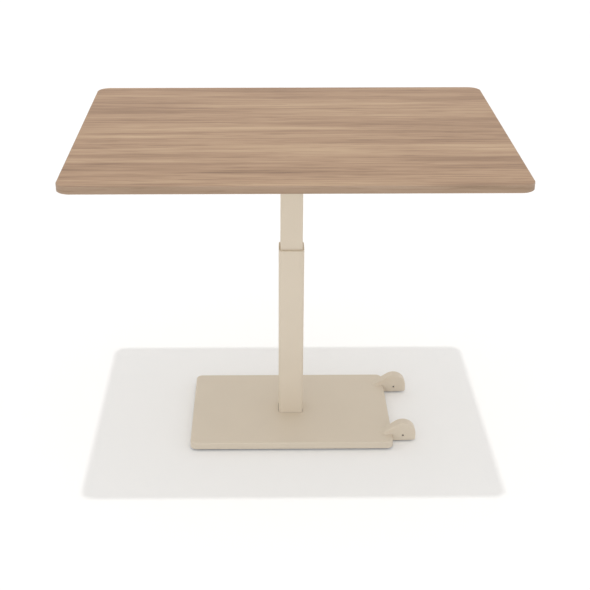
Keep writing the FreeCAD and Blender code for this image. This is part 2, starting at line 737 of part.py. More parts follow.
def make_gas_spring():
    """A lockable gas spring on a post, its rod fixed in the head plate."""
    flange = S.riser_flange_radius
    bore = S.riser_radius - S.riser_wall
    plug_foot = S.riser_height - S.riser_plug
    stud_bore = S.spring_stud_radius + S.thread_gap
    riser = turned(
        "spring_riser", column_foot,
        (bore, 0), (flange, 0), (flange, S.riser_flange), (S.riser_radius, S.riser_flange),
        (S.riser_radius, S.riser_height), (stud_bore, S.riser_height),
        (stud_bore, plug_foot), (bore, plug_foot),
    )
    clear = S.riser_screw_radius + S.thread_gap
    holes(riser, "screw_holes", clear, riser_screw_spots, S.riser_flange, upwards=True)

    inner = spring_bore
    length = S.spring_length
    rim_bore = S.rod_radius + S.spring_mouth
    turned(
        "gas_spring_cylinder", spring_foot,
        (0, -S.spring_stud), (S.spring_stud_radius, -S.spring_stud), (S.spring_stud_radius, 0),
        (S.spring_radius, 0), (S.spring_radius, length), (rim_bore, length),
        (rim_bore, length - S.spring_rim), (inner, length - S.spring_rim),
        (inner, S.spring_floor), (0, S.spring_floor),
    )
    turned(
        "gas_spring_rod_guide", guide_foot,
        (S.rod_radius + S.running_gap, 0), (inner - S.seat_gap, 0),
        (inner - S.seat_gap, S.rod_guide_length),
        (S.rod_radius + S.running_gap, S.rod_guide_length),
    )
    groove_low = (S.piston_length - S.piston_groove_width) / 2
    groove_high = groove_low + S.piston_groove_width
    rim = inner - S.running_gap
    turned(
        "gas_spring_piston", piston_foot,
        (S.rod_radius + S.seat_gap, 0), (rim, 0), (rim, groove_low),
        (rim - S.piston_groove, groove_low), (rim - S.piston_groove, groove_high),
        (rim, groove_high), (rim, S.piston_length), (S.rod_radius + S.seat_gap, S.piston_length),
    )
    pin_bore = S.pin_radius + S.running_gap
    bore_floor = pin_end - S.pin_length - S.pin_travel - S.pin_end_gap - piston_foot
    rod_length = rod_end - piston_foot
    turned(
        "gas_spring_rod", piston_foot,
        (0, 0), (S.rod_radius, 0), (S.rod_radius, rod_length), (pin_bore, rod_length),
        (pin_bore, bore_floor), (0, bore_floor),
    )
    turned(
        "release_pin", pin_end - S.pin_length,
        (0, 0), (S.pin_radius, 0), (S.pin_radius, S.pin_length), (0, S.pin_length),
    )
    nuts = []
    for name, z in (("lower", head_level - S.rod_nut_height), ("upper", rail_level)):
        blank = doc.addObject("Part::Prism", "rod_nut_" + name + "_blank")
        blank.Polygon = 6
        bind(blank, Circumradius=S.rod_nut_radius * (2 / math.sqrt(3)), Height=S.rod_nut_height)
        place(blank, z=z)
        hole = rod("rod_nut_" + name + "_hole", S.rod_radius + S.thread_gap, S.rod_nut_height, z=z)
        nuts.append(cut("rod_nut_" + name, blank, hole))
    group("rod_nuts", nuts)


# ---------------------------------------------------------------- base

third = math.sqrt(3) / 2
riser_screw_spots = [
    (S.riser_screw_circle, as_size(0)),
    (-S.riser_screw_circle / 2, S.riser_screw_circle * third),
    (-S.riser_screw_circle / 2, -S.riser_screw_circle * third),
]
foot_bolt_spots = corners_of(S.foot_bolt_reach_x, S.foot_bolt_reach_y)
glide_spots = corners_of(S.glide_reach_x, S.glide_reach_y)
cover_screw_spots = corners_of(S.cover_screw_reach_x, S.cover_screw_reach_y)
housing_screw_spots = [
    (housing_screw_x, side * S.housing_reach + end * S.housing_screw_spread / 2)
    for side in BOTH_SIDES
    for end in BOTH_SIDES
]


def sunk_holes(part, name, spots, shank, head, head_height, thickness):
    """Holes through a plate, counterbored from below for a cap head."""
    clear = shank + S.thread_gap
    holes(part, name, clear, spots, thickness, upwards=True)
    holes(part, name + "_counterbores", head + S.counterbore_gap, spots, head_height, upwards=True)


def make_base():
    """A pressed cover over a ballast plate, on four glides."""
    cover = body("base_cover", z=S.shadow_gap)
    outline = sketch(cover, "outline")
    rounded_rectangle(outline, S.base_length, S.base_width, S.base_corner)
    block = pad(cover, outline, S.base_depth)
    rounded_edges(cover, block, S.base_edge, lambda edge: level(edge, S.base_depth))
    inside = sketch(cover, "inside")
    wall = S.cover_wall
    inner = grown((S.base_length, S.base_width, S.base_corner), -wall)
    rounded_rectangle(inside, *inner)
    pocket(cover, inside, S.base_depth - wall, upwards=True)
    window = sketch(cover, "column_window", lift=S.base_depth)
    rounded_rectangle(window, *grown(COLUMN, S.cover_hole_gap))
    pocket(cover, window, wall)
    clear = S.housing_screw_radius + S.thread_gap
    holes(cover, "housing_holes", clear, housing_screw_spots, wall, lift=S.base_depth)

    corner = S.base_corner - wall - S.ballast_gap
    thickness = S.ballast_thickness
    ballast = plate("ballast_plate", ballast_length, ballast_width, thickness, corner, ballast_level)
    sunk_holes(ballast, "foot_bolts", foot_bolt_spots, S.foot_bolt_radius,
               S.foot_bolt_head_radius, S.foot_bolt_head, thickness)
    sunk_holes(ballast, "cover_screws", cover_screw_spots, S.cover_screw_radius,
               S.cover_screw_head, S.cover_screw_head_height, thickness)
    sunk_holes(ballast, "housing_screws", housing_screw_spots, S.housing_screw_radius,
               S.housing_screw_head, S.housing_screw_head_height, thickness)
    clear = S.glide_screw_radius + S.thread_gap
    holes(ballast, "glide_holes", clear, glide_spots, thickness, upwards=True)

    foot = plate("column_foot_plate", S.foot_length, S.foot_width, S.foot_thickness, S.foot_corner,
                 foot_level)
    clear = S.foot_bolt_radius + S.thread_gap
    holes(foot, "bolt_holes", clear, foot_bolt_spots, S.foot_thickness, upwards=True)
    clear = S.riser_screw_radius + S.thread_gap
    holes(foot, "riser_holes", clear, riser_screw_spots, S.foot_thickness, upwards=True)

    seat = ballast_level + S.foot_bolt_head
    length = column_foot - seat
    screws("foot_bolts", foot_bolt_spots, S.foot_bolt_radius, length,
           S.foot_bolt_head_radius, S.foot_bolt_head, seat)
    seat = ballast_level + S.cover_screw_head_height
    screws("cover_screws", cover_screw_spots, S.cover_screw_radius, column_foot - seat,
           S.cover_screw_head, S.cover_screw_head_height, seat)
    seat = ballast_level + S.housing_screw_head_height
    length = base_top + S.housing_seat + S.housing_screw_bite - seat
    screws("housing_screws", housing_screw_spots, S.housing_screw_radius, length,
           S.housing_screw_head, S.housing_screw_head_height, seat)

    made = []
    for i, (x, y) in enumerate(riser_screw_spots, start=1):
        name = "riser_screw_%d" % i
        seat = column_foot + S.riser_flange
        reach = S.riser_flange + S.foot_thickness
        stem = rod(name + "_shank", S.riser_screw_radius, reach, x, y, seat - reach)
        cap = rod(name + "_head", S.riser_screw_head, S.riser_screw_head_height, x, y, seat)
        made.append(fuse(name, stem, cap))
    group("riser_screws", made)

    made = []
    for i, (x, y) in enumerate(cover_screw_spots, start=1):
        name = "cover_spacer_%d" % i
        disc = rod(name + "_disc", S.spacer_radius, S.foot_thickness, x, y, foot_level)
        hole = rod(name + "_hole", S.cover_screw_radius + S.thread_gap, S.foot_thickness, x, y, foot_level)
        made.append(cut(name, disc, hole))
    group("cover_spacers", made)

    made = []
    for i, side in enumerate(BOTH_SIDES, start=1):
        name = "housing_spacer_%d" % i
        y = side * S.housing_reach
        strip = box(name + "_strip", 2 * S.housing_screw_head, S.housing_width - 2 * S.cover_wall,
                    S.foot_thickness, housing_screw_x, y, foot_level)
        bores = []
        for end in BOTH_SIDES:
            bore_y = y + end * S.housing_screw_spread / 2
            bores.append(rod("%s_hole_%s" % (name, SIDE_NAMES[end]), S.housing_screw_radius + S.thread_gap,
                             S.foot_thickness, housing_screw_x, bore_y, foot_level))
        made.append(cut(name, strip, *bores))
    group("housing_spacers", made)
    make_glides()


def make_glides():
    """Four nylon glides, each held by a screw whose head is sunk above the floor."""
    pads = []
    pins = []
    for i, (x, y) in enumerate(glide_spots, start=1):
        name = "floor_glide_%d" % i
        disc = doc.addObject("Part::Cone", name + "_disc")
        bind(disc, Radius1=S.glide_radius - S.glide_flare, Radius2=S.glide_radius, Height=S.glide_flare)
        place(disc, x, y)
        upper = ballast_level - S.glide_flare
        collar = rod(name + "_collar", S.glide_radius, upper, x, y, S.glide_flare)
        whole = fuse(name + "_blank", disc, collar)
        well_height = S.glide_screw_recess + S.glide_screw_head_height
        well = rod(name + "_well", S.glide_screw_head + S.thread_gap, well_height, x, y)
        bore = rod(name + "_bore", S.glide_screw_radius + S.thread_gap, ballast_level, x, y)
        pads.append(cut(name, whole, fuse(name + "_tool", well, bore)))
        length = ballast_level + S.ballast_thickness - well_height
        pins.append(screw("glide_screw_%d" % i, S.glide_screw_radius, length, S.glide_screw_head,
                          S.glide_screw_head_height, x, y, well_height))
    group("floor_glides", pads)
    group("glide_screws", pins)


# ---------------------------------------------------------------- wheels

BACK_DEPTH = 0.4  # share of the housing's height that its back runs on below the cover's top


def make_wheel_housing(label, y):
    """A cast fairing: a round top over the wheel that runs down to a nose on the base cover."""
    part = body(label, x=axle_x, y=y, z=crown_level)
    crown = S.housing_crown
    cover_top = base_top - crown_level
    cover_end = base_end - axle_x
    nose_x = cover_end - S.housing_nose
    low = S.housing_gap - crown_level
    lip_low = low + S.housing_lip_rise
    far = 3 * S.housing_width

    # Side view: an upright front, the crown arc, and a straight back that touches it and meets
    # the nose.
    profile = sketch(part, "profile", role="XZ_Plane")
    nose = Vector(nose_x.number, cover_top.number, 0)
    reach = math.hypot(nose.x, nose.y)
    lean = math.atan2(nose.y, nose.x) - math.acos(crown.number / reach)
    touch = Vector(crown.number * math.cos(lean), crown.number * math.sin(lean), 0)
    direction = (nose - touch).normalize()
    hidden = nose + direction * (cover_top.number - low.number) * BACK_DEPTH / abs(direction.y)
    foot = Vector(hidden.x, low.number, 0)
    lip = Vector(crown.number, lip_low.number, 0)
    knee = Vector(0, low.number, 0)
    back = profile.addGeometry(Part.LineSegment(touch, hidden))
    drop = profile.addGeometry(Part.LineSegment(hidden, foot))
    sole = profile.addGeometry(Part.LineSegment(foot, knee))
    rise = profile.addGeometry(Part.LineSegment(knee, lip))
    front = profile.addGeometry(Part.LineSegment(lip, Vector(crown.number, 0, 0)))
    ring = Part.Circle(Vector(), Vector(0, 0, 1), crown.number)
    hood = profile.addGeometry(Part.ArcOfCircle(ring, 0, math.atan2(touch.y, touch.x)))
    relation = Sketcher.Constraint
    profile.addConstraint(relation("Tangent", hood, END, back, START))
    for first, second in ((back, drop), (drop, sole), (sole, rise), (rise, front)):
        profile.addConstraint(relation("Coincident", first, END, second, START))
    profile.addConstraint(relation("Tangent", front, END, hood, START))
    profile.addConstraint(relation("Coincident", hood, CENTRE, -1, 1))
    radius_of(profile, hood, crown)
    profile.addConstraint(relation("Vertical", drop))
    profile.addConstraint(relation("Vertical", front))
    profile.addConstraint(relation("Horizontal", sole))
    pin(profile, (sole, END), 0, low)
    dimension(profile, "DistanceY", (front, START), ORIGIN, -lip_low)
    dimension(profile, "DistanceX", (drop, START), ORIGIN, -(nose_x - S.housing_edge * 2))
    tip = profile.addGeometry(Part.Point(nose))
    profile.addConstraint(relation("PointOnObject", tip, 1, back))
    pin(profile, (tip, 1), nose_x, cover_top)
    profile.toggleConstruction(tip)
    pad(part, profile, S.housing_width, symmetric=True)

    # Plan view: everything outside the round nose comes off.
    plan = sketch(part, "plan", lift=crown)
    half = S.housing_width / 2
    polygon(plan, (-far * 2, -far), (far, -far), (far, far), (-far * 2, far))
    centre_x = nose_x + half
    bow = Part.Circle(Vector(centre_x.number, 0, 0), Vector(0, 0, 1), half.number)
    nose_arc = plan.addGeometry(Part.ArcOfCircle(bow, math.radians(90), math.radians(270)))
    end_x = crown + S.housing_edge
    upper = Vector(centre_x.number, half.number, 0)
    lower = Vector(centre_x.number, -half.number, 0)
    upper_end = Vector(end_x.number, half.number, 0)
    lower_end = Vector(end_x.number, -half.number, 0)
    low_side = plan.addGeometry(Part.LineSegment(lower, lower_end))
    end_side = plan.addGeometry(Part.LineSegment(lower_end, upper_end))
    high_side = plan.addGeometry(Part.LineSegment(upper_end, upper))
    plan.addConstraint(relation("Tangent", nose_arc, END, low_side, START))
    plan.addConstraint(relation("Coincident", low_side, END, end_side, START))
    plan.addConstraint(relation("Coincident", end_side, END, high_side, START))
    plan.addConstraint(relation("Tangent", high_side, END, nose_arc, START))
    plan.addConstraint(relation("Horizontal", low_side))
    plan.addConstraint(relation("Vertical", end_side))
    radius_of(plan, nose_arc, half)
    pin(plan, (nose_arc, CENTRE), centre_x, 0)
    dimension(plan, "DistanceX", ORIGIN, (end_side, START), end_x)
    trimmed = pocket(part, plan, 2 * crown)

    side = half.number - 1e-3
    nose_limit = centre_x.number + 1e-3

    def on_outline(edge):
        middle = edge.valueAt((edge.FirstParameter + edge.LastParameter) / 2)
        limits = edge.BoundBox
        outer_end = middle.x > crown.number / 2
        if limits.ZMax < cover_top.number - 1 and middle.x < cover_end.number:
            return False
        if limits.YLength > 2 * side:
            return outer_end and limits.ZMax < lip_low.number + 1e-3
        upright = limits.XLength < 1e-4 and limits.YLength < 1e-4
        if upright and not outer_end or abs(middle.z - low.number) < 1e-3:
            return False
        return abs(middle.y) > side or middle.x < nose_limit

    rounded_edges(part, trimmed, S.housing_edge, on_outline)

    # The seat over the cover's rounded edge.
    seat = sketch(part, "seat", role="XZ_Plane")
    gap = S.housing_seat
    edge_round = S.base_edge + gap
    top_line = cover_top + gap
    end_line = cover_end + gap
    bend_x = end_line - edge_round
    bend_z = top_line - edge_round
    start = Vector(end_line.number, bend_z.number, 0)
    finish = Vector(bend_x.number, top_line.number, 0)
    ring = Part.Circle(Vector(bend_x.number, bend_z.number, 0), Vector(0, 0, 1), edge_round.number)
    bend = seat.addGeometry(Part.ArcOfCircle(ring, 0, math.radians(90)))
    corner_points = (
        finish,
        Vector(-far.number, top_line.number, 0),
        Vector(-far.number, -far.number, 0),
        Vector(end_line.number, -far.number, 0),
        start,
    )
    lines = []
    for first, second in zip(corner_points, corner_points[1:]):
        lines.append(seat.addGeometry(Part.LineSegment(first, second)))
    seat.addConstraint(relation("Tangent", bend, END, lines[0], START))
    for first, second in zip(lines, lines[1:]):
        seat.addConstraint(relation("Coincident", first, END, second, START))
    seat.addConstraint(relation("Tangent", lines[3], END, bend, START))
    for line, kind in zip(lines, ("Horizontal", "Vertical", "Horizontal", "Vertical")):
        seat.addConstraint(relation(kind, line))
    radius_of(seat, bend, edge_round)
    pin(seat, (bend, CENTRE), bend_x, bend_z)
    pin(seat, (lines[2], START), -far, -far)
    pocket(part, seat, 2 * far, symmetric=True)

    # The well for the wheel, open below, and the bore for the axle.
    well = sketch(part, "well", role="XZ_Plane")
    mouth = well_radius
    axle = Vector(0, -S.crown_rise.number, 0)
    arc_ring = Part.Circle(axle, Vector(0, 0, 1), mouth.number)
    dome = well.addGeometry(Part.ArcOfCircle(arc_ring, 0, math.pi))
    left = axle - Vector(mouth.number, 0, 0)
    right = axle + Vector(mouth.number, 0, 0)
    deep = Vector(0, S.crown_rise.number - crown.number, 0)
    left_wall = well.addGeometry(Part.LineSegment(left, left + deep))
    mouth_line = well.addGeometry(Part.LineSegment(left + deep, right + deep))
    right_wall = well.addGeometry(Part.LineSegment(right + deep, right))
    well.addConstraint(relation("Tangent", dome, END, left_wall, START))
    well.addConstraint(relation("Coincident", left_wall, END, mouth_line, START))
    well.addConstraint(relation("Coincident", mouth_line, END, right_wall, START))
    well.addConstraint(relation("Tangent", right_wall, END, dome, START))
    well.addConstraint(relation("Horizontal", mouth_line))
    well.addConstraint(relation("Vertical", left_wall))
    radius_of(well, dome, mouth)
    pin(well, (dome, CENTRE), 0, -S.crown_rise)
    dimension(well, "DistanceY", (mouth_line, START), ORIGIN, crown)
    pocket(part, well, S.wheel_width + 2 * S.wheel_well_gap, symmetric=True)
    bore = sketch(part, "axle_bore", role="XZ_Plane")
    circle(bore, S.axle_radius + S.thread_gap, 0, -S.crown_rise)
    pocket(part, bore, 2 * S.housing_width, symmetric=True)
    spots = [(housing_screw_x - axle_x, end * S.housing_screw_spread / 2) for end in BOTH_SIDES]
    clear = S.housing_screw_radius + S.thread_gap
    depth = S.housing_screw_bite + S.housing_screw_end_gap
    holes(part, "screw_holes", clear, spots, depth, lift=cover_top + gap, upwards=True)


def make_wheel(name, y):
    """A nylon hub and a soft tyre that turn on a fixed axle."""
    half = S.wheel_width / 2
    hub = body("wheel_hub_" + name, x=axle_x, y=y, z=S.axle_height)
    drawing = sketch(hub, "outline", role="XY_Plane")
    bore = S.axle_radius + S.axle_fit
    boss = S.hub_boss_radius
    rim = S.hub_radius - S.tyre_round
    web = half - S.hub_dish
    polygon(
        drawing,
        (bore, -half), (boss, -half), (boss, -web), (rim, -web), (rim, -half),
        (S.hub_radius, -half), (S.hub_radius, half), (rim, half), (rim, web), (boss, web),
        (boss, half), (bore, half),
    )
    revolve(hub, drawing)
    tyre = body("wheel_tyre_" + name, x=axle_x, y=y, z=S.axle_height)
    drawing = sketch(tyre, "outline", role="XY_Plane")
    polygon(drawing, (S.hub_radius, -half), (S.wheel_radius, -half), (S.wheel_radius, half),
            (S.hub_radius, half))
    ring = revolve(tyre, drawing)
    tread = S.wheel_radius.number
    rounded_edges(
        tyre, ring, S.tyre_round,
        lambda edge: edge.BoundBox.YLength < 1e-4 and edge.BoundBox.XLength > 2 * tread - 1e-3,
    )
    length = S.housing_width - 2 * S.axle_recess
    shaft = rod("wheel_axle_" + name, S.axle_radius, length, axle_x, y - length / 2, S.axle_height, ALONG_Y)
    node(shaft, "wheel_axle_" + name)


# ---------------------------------------------------------------- release

hinge_cheek_drop = top_underside - lever_z + S.paddle_hub_radius + S.cheek
release_cheek_x = S.rocker_width / 2 + S.cheek_gap
release_screw_spots = [
    (side * (release_cheek_x + S.cheek + S.release_wing / 2), S.release_back - S.release_wing / 2)
    for side in BOTH_SIDES
]

# The cable leaves the stop by the column, passes through the front rail and swings over to the
# paddle. Each point is a share of the way across, a share of the way to the front, and a share
# of the way down. The points between the ends stay as chosen.
CABLE_COURSE = (
    (0.00, 0.00, 0.00),
    (0.00, 0.33, 0.00),
    (0.13, 0.47, 0.10),
    (0.40, 0.53, 0.40),
    (0.70, 0.57, 0.70),
    (0.92, 0.63, 0.92),
    (1.00, 0.75, 1.00),
    (1.00, 1.00, 1.00),
)
CLIP_RUN = 3
ARC_SHARE = 0.45

cable_start = (as_size(0), release_stop_y - S.cheek, rocker_wire_z)
cable_end = (S.lever_x, paddle_stop_y + S.cheek, paddle_wire_z)


def cable_point(shares):
    return tuple(a + (b - a) * share for a, b, share in zip(cable_start, cable_end, shares))


cable_route = [cable_point(shares) for shares in CABLE_COURSE]
clip_centre = tuple((a + b) / 2 for a, b in zip(cable_route[CLIP_RUN], cable_route[CLIP_RUN + 1]))
clip_hole_y = clip_centre[1] + S.sheath_radius + S.clip_wall + S.clip_foot / 2
clip_screw_spots = [(clip_centre[0], clip_hole_y)]


def cable_path():
    """Straight runs joined by tangent arcs as large as the runs allow."""
    points = [Vector(*(value.number for value in spot)) for spot in cable_route]
    edges = []
    last = points[0]
    radii = []
    for before, here, after in zip(points, points[1:], points[2:]):
        into = here - before
        out = after - here
        turn = into.getAngle(out)
        tangent = ARC_SHARE * min(into.Length, out.Length)
        radii.append(tangent / math.tan(turn / 2))
        into.normalize()
        out.normalize()
        start = here - into * tangent
        finish = here + out * tangent
        inward = (out - into).normalize()
        sagitta = tangent * math.tan(turn / 4)
        across = (start + finish) / 2
        middle = across - inward * sagitta
        edges.append(Part.LineSegment(last, start).toShape())
        edges.append(Part.Arc(start, middle, finish).toShape())
        last = finish
    edges.append(Part.LineSegment(last, points[-1]).toShape())
    print("cable bend radii, mm:", [round(value) for value in radii])
    return Part.Wire(edges)


def make_cable():
    """The sheath between the two stops, its ferrules, its clip and the wire inside it."""
    path = cable_path()
    first = path.Edges[0]
    section = Part.Wire([Part.Circle(first.valueAt(first.FirstParameter), Vector(0, 1, 0),
                                     S.sheath_radius.number).toShape()])
    sweep = path.makePipeShell([section], True, False)
    expected = math.pi * S.sheath_radius.number ** 2 * path.Length
    print("cable length %.1f mm, volume share %.4f" % (path.Length, sweep.Volume / expected))
    depth = S.wire_in_sheath + S.wire_room
    bore = (S.wire_radius + S.wire_gap).number
    tools = []
    for spot, direction in ((cable_start, Vector(0, -1, 0)), (cable_end, Vector(0, 1, 0))):
        origin = Vector(*(value.number for value in spot))
        tools.append(Part.makeCylinder(bore, depth.number, origin, direction))
    sheath = doc.addObject("Part::Feature", "release_cable")
    sheath.Shape = sweep.cut(Part.makeCompound(tools))
    sheath.Placement = Placement()
    node(sheath, "release_cable")

    ferrules = []
    gap = S.sheath_radius + S.seat_gap
    for name, spot, outwards in (("column", cable_start, -1), ("paddle", cable_end, 1)):
        x, y, z = spot
        start = y if outwards > 0 else y - S.ferrule_length
        shell = rod("ferrule_" + name + "_shell", S.ferrule_radius, S.ferrule_length, x, start, z, ALONG_Y)
        hole = rod("ferrule_" + name + "_hole", gap, S.ferrule_length, x, start, z, ALONG_Y)
        ferrules.append(cut("ferrule_" + name, shell, hole))
    group("cable_ferrules", ferrules)

    x, y, z = clip_centre
    heading = Vector(*(b.number - a.number for a, b in zip(cable_route[CLIP_RUN], cable_route[CLIP_RUN + 1])))
    heading.normalize()
    clip_outer = S.sheath_radius + S.seat_gap + S.clip_wall
    centre = Vector(x.number, y.number, z.number)
    start = centre - heading * (S.clip_width.number / 2)
    ring = Part.makeCylinder(clip_outer.number, S.clip_width.number, start, heading)
    bore = Part.makeCylinder(gap.number, 3 * S.clip_width.number,
                             start - heading * S.clip_width.number, heading)
    rise = top_underside.number - z.number
    width = clip_outer.number * 2
    neck = Part.makeBox(S.clip_width.number, width, rise,
                        Vector(x.number - S.clip_width.number / 2, y.number - clip_outer.number, z.number))
    foot_width = S.clip_foot.number + clip_outer.number
    foot = Part.makeBox(S.clip_foot.number, foot_width, S.clip_wall.number,
                        Vector(x.number - S.clip_foot.number / 2, y.number,
                               top_underside.number - S.clip_wall.number))
    hole = Part.makeCylinder(S.small_screw_radius.number + S.thread_gap.number, S.clip_wall.number,
                             Vector(x.number, clip_hole_y.number, foot.BoundBox.ZMin))
    clip = doc.addObject("Part::Feature", "cable_clip")
    clip.Shape = ring.fuse([neck, foot]).cut([bore, hole]).removeSplitter()
    clip.Placement = Placement()
    node(clip, "cable_clip")
    screws("clip_screw", clip_screw_spots, S.small_screw_radius, S.clip_wall + S.small_screw_bite,
           S.small_screw_head, S.small_screw_head_height, top_underside - S.clip_wall)

    pieces = []
    for name, x, y, z, stop in (
        ("paddle", S.lever_x, lever_y, paddle_wire_z, cable_end[1]),
        ("rocker", as_size(0), rocker_y, rocker_wire_z, cable_start[1]),
    ):
        width = S.rocker_width
        barrel = rod("wire_barrel_" + name, S.barrel_radius, width, x - width / 2, y, z, ALONG_X)
        if name == "paddle":
            start, length = y, stop + S.wire_in_sheath - y
        else:
            start, length = stop - S.wire_in_sheath, y - stop + S.wire_in_sheath
        wire = rod("wire_end_" + name, S.wire_radius, length, x, start, z, ALONG_Y)
        pieces.append(fuse("release_wire_" + name, barrel, wire))
    group("release_wire", pieces)


def make_rocker():
    """The rocker over the release pin: a nose that presses the pin and a fork for the wire."""
    part = body("release_rocker", y=rocker_y, z=rocker_z)
    nose_y = -S.rocker_back
    nose_z = pin_end + S.running_gap + S.rocker_nose - rocker_z
    wide = S.rocker_width
    fork = S.barrel_radius + S.barrel_gap + S.fork_wall
    hub = S.rocker_hub_radius
    profile = sketch(part, "arm", role="YZ_Plane")
    polygon(
        profile,
        (nose_y, nose_z - S.rocker_nose), (-hub, nose_z - S.rocker_nose), (-hub, 0),
        (hub, 0), (fork, S.rocker_arm), (-fork, S.rocker_arm), (-hub, nose_z + S.rocker_nose),
        (nose_y, nose_z + S.rocker_nose),
    )
    pad(part, profile, wide, symmetric=True)
    for name, radius, y, z in (
        ("hub", hub, 0, 0),
        ("nose", S.rocker_nose, nose_y, nose_z),
        ("fork", fork, 0, S.rocker_arm),
    ):
        drawing = sketch(part, name, role="YZ_Plane")
        circle(drawing, radius, y, z)
        pad(part, drawing, wide, symmetric=True)
    for name, radius, z in (
        ("pivot_bore", S.rocker_pin_radius + S.pivot_fit, 0),
        ("barrel_bore", S.barrel_radius + S.barrel_gap, S.rocker_arm),
    ):
        drawing = sketch(part, name, role="YZ_Plane")
        circle(drawing, radius, 0, z)
        pocket(part, drawing, 2 * wide, symmetric=True)
    slot = sketch(part, "fork_slot", role="XZ_Plane")
    half = S.fork_slot / 2
    floor = S.rocker_arm - fork
    top = S.rocker_arm + 2 * fork
    polygon(slot, (-half, floor), (half, floor), (half, top), (-half, top))
    pocket(part, slot, 4 * wide, symmetric=True)

    x = S.rocker_width / 2 + S.cheek_gap
    span = 2 * (x + S.cheek)
    node(rod("rocker_pivot_pin", S.rocker_pin_radius, span, -span / 2, rocker_y, rocker_z, ALONG_X),
         "rocker_pivot_pin")
    pieces = []
    cheek_height = S.rocker_rise + S.rocker_hub_radius
    cheek_front = rocker_y - S.rocker_hub_radius - S.cheek / 2
    cheek_depth = S.release_back - cheek_front
    for side in BOTH_SIDES:
        middle = side * (x + S.cheek / 2)
        pieces.append(box("release_cheek_" + SIDE_NAMES[side], S.cheek, cheek_depth, cheek_height,
                          middle, cheek_front + cheek_depth / 2, rail_level))
    flange_length = span + 2 * S.release_wing
    flange_y = S.release_back - S.release_wing / 2
    pieces.append(box("release_flange", flange_length, S.release_wing, S.cheek, 0, flange_y, rail_level))
    strap_x = S.rod_nut_radius * (2 / math.sqrt(3)) + S.counterbore_gap + S.cheek
    for side in BOTH_SIDES:
        start = release_stop_y - S.cheek / 2
        length = S.release_back - start
        pieces.append(box("release_strap_" + SIDE_NAMES[side], S.cheek * 2, length, S.cheek,
                          side * strap_x, start + length / 2, rail_level))
    stop_height = rocker_wire_z + S.ferrule_radius - rail_level
    stop_y = release_stop_y - S.cheek / 2
    pieces.append(box("release_stop_tab", 2 * (strap_x + S.cheek), S.cheek, stop_height,
                      0, stop_y, rail_level))
    whole = fuse("release_bracket_blank", *pieces)
    tools = [
        rod("release_pivot_hole", S.rocker_pin_radius + S.seat_gap, 2 * span, -span,
            rocker_y, rocker_z, ALONG_X),
        rod("release_wire_hole", S.wire_radius + S.wire_gap, 4 * S.cheek, 0, stop_y - 2 * S.cheek,
            rocker_wire_z, ALONG_Y),
    ]
    for i, (spot_x, spot_y) in enumerate(release_screw_spots):
        tools.append(rod("release_screw_hole_%d" % i, S.small_screw_radius + S.thread_gap, S.cheek,
                         spot_x, spot_y, rail_level))
    node(cut("release_bracket", whole, *tools), "release_bracket")
    screws("release_bracket_screws", release_screw_spots, S.small_screw_radius,
           S.head_thickness + S.cheek, S.small_screw_head, S.small_screw_head_height, head_level)


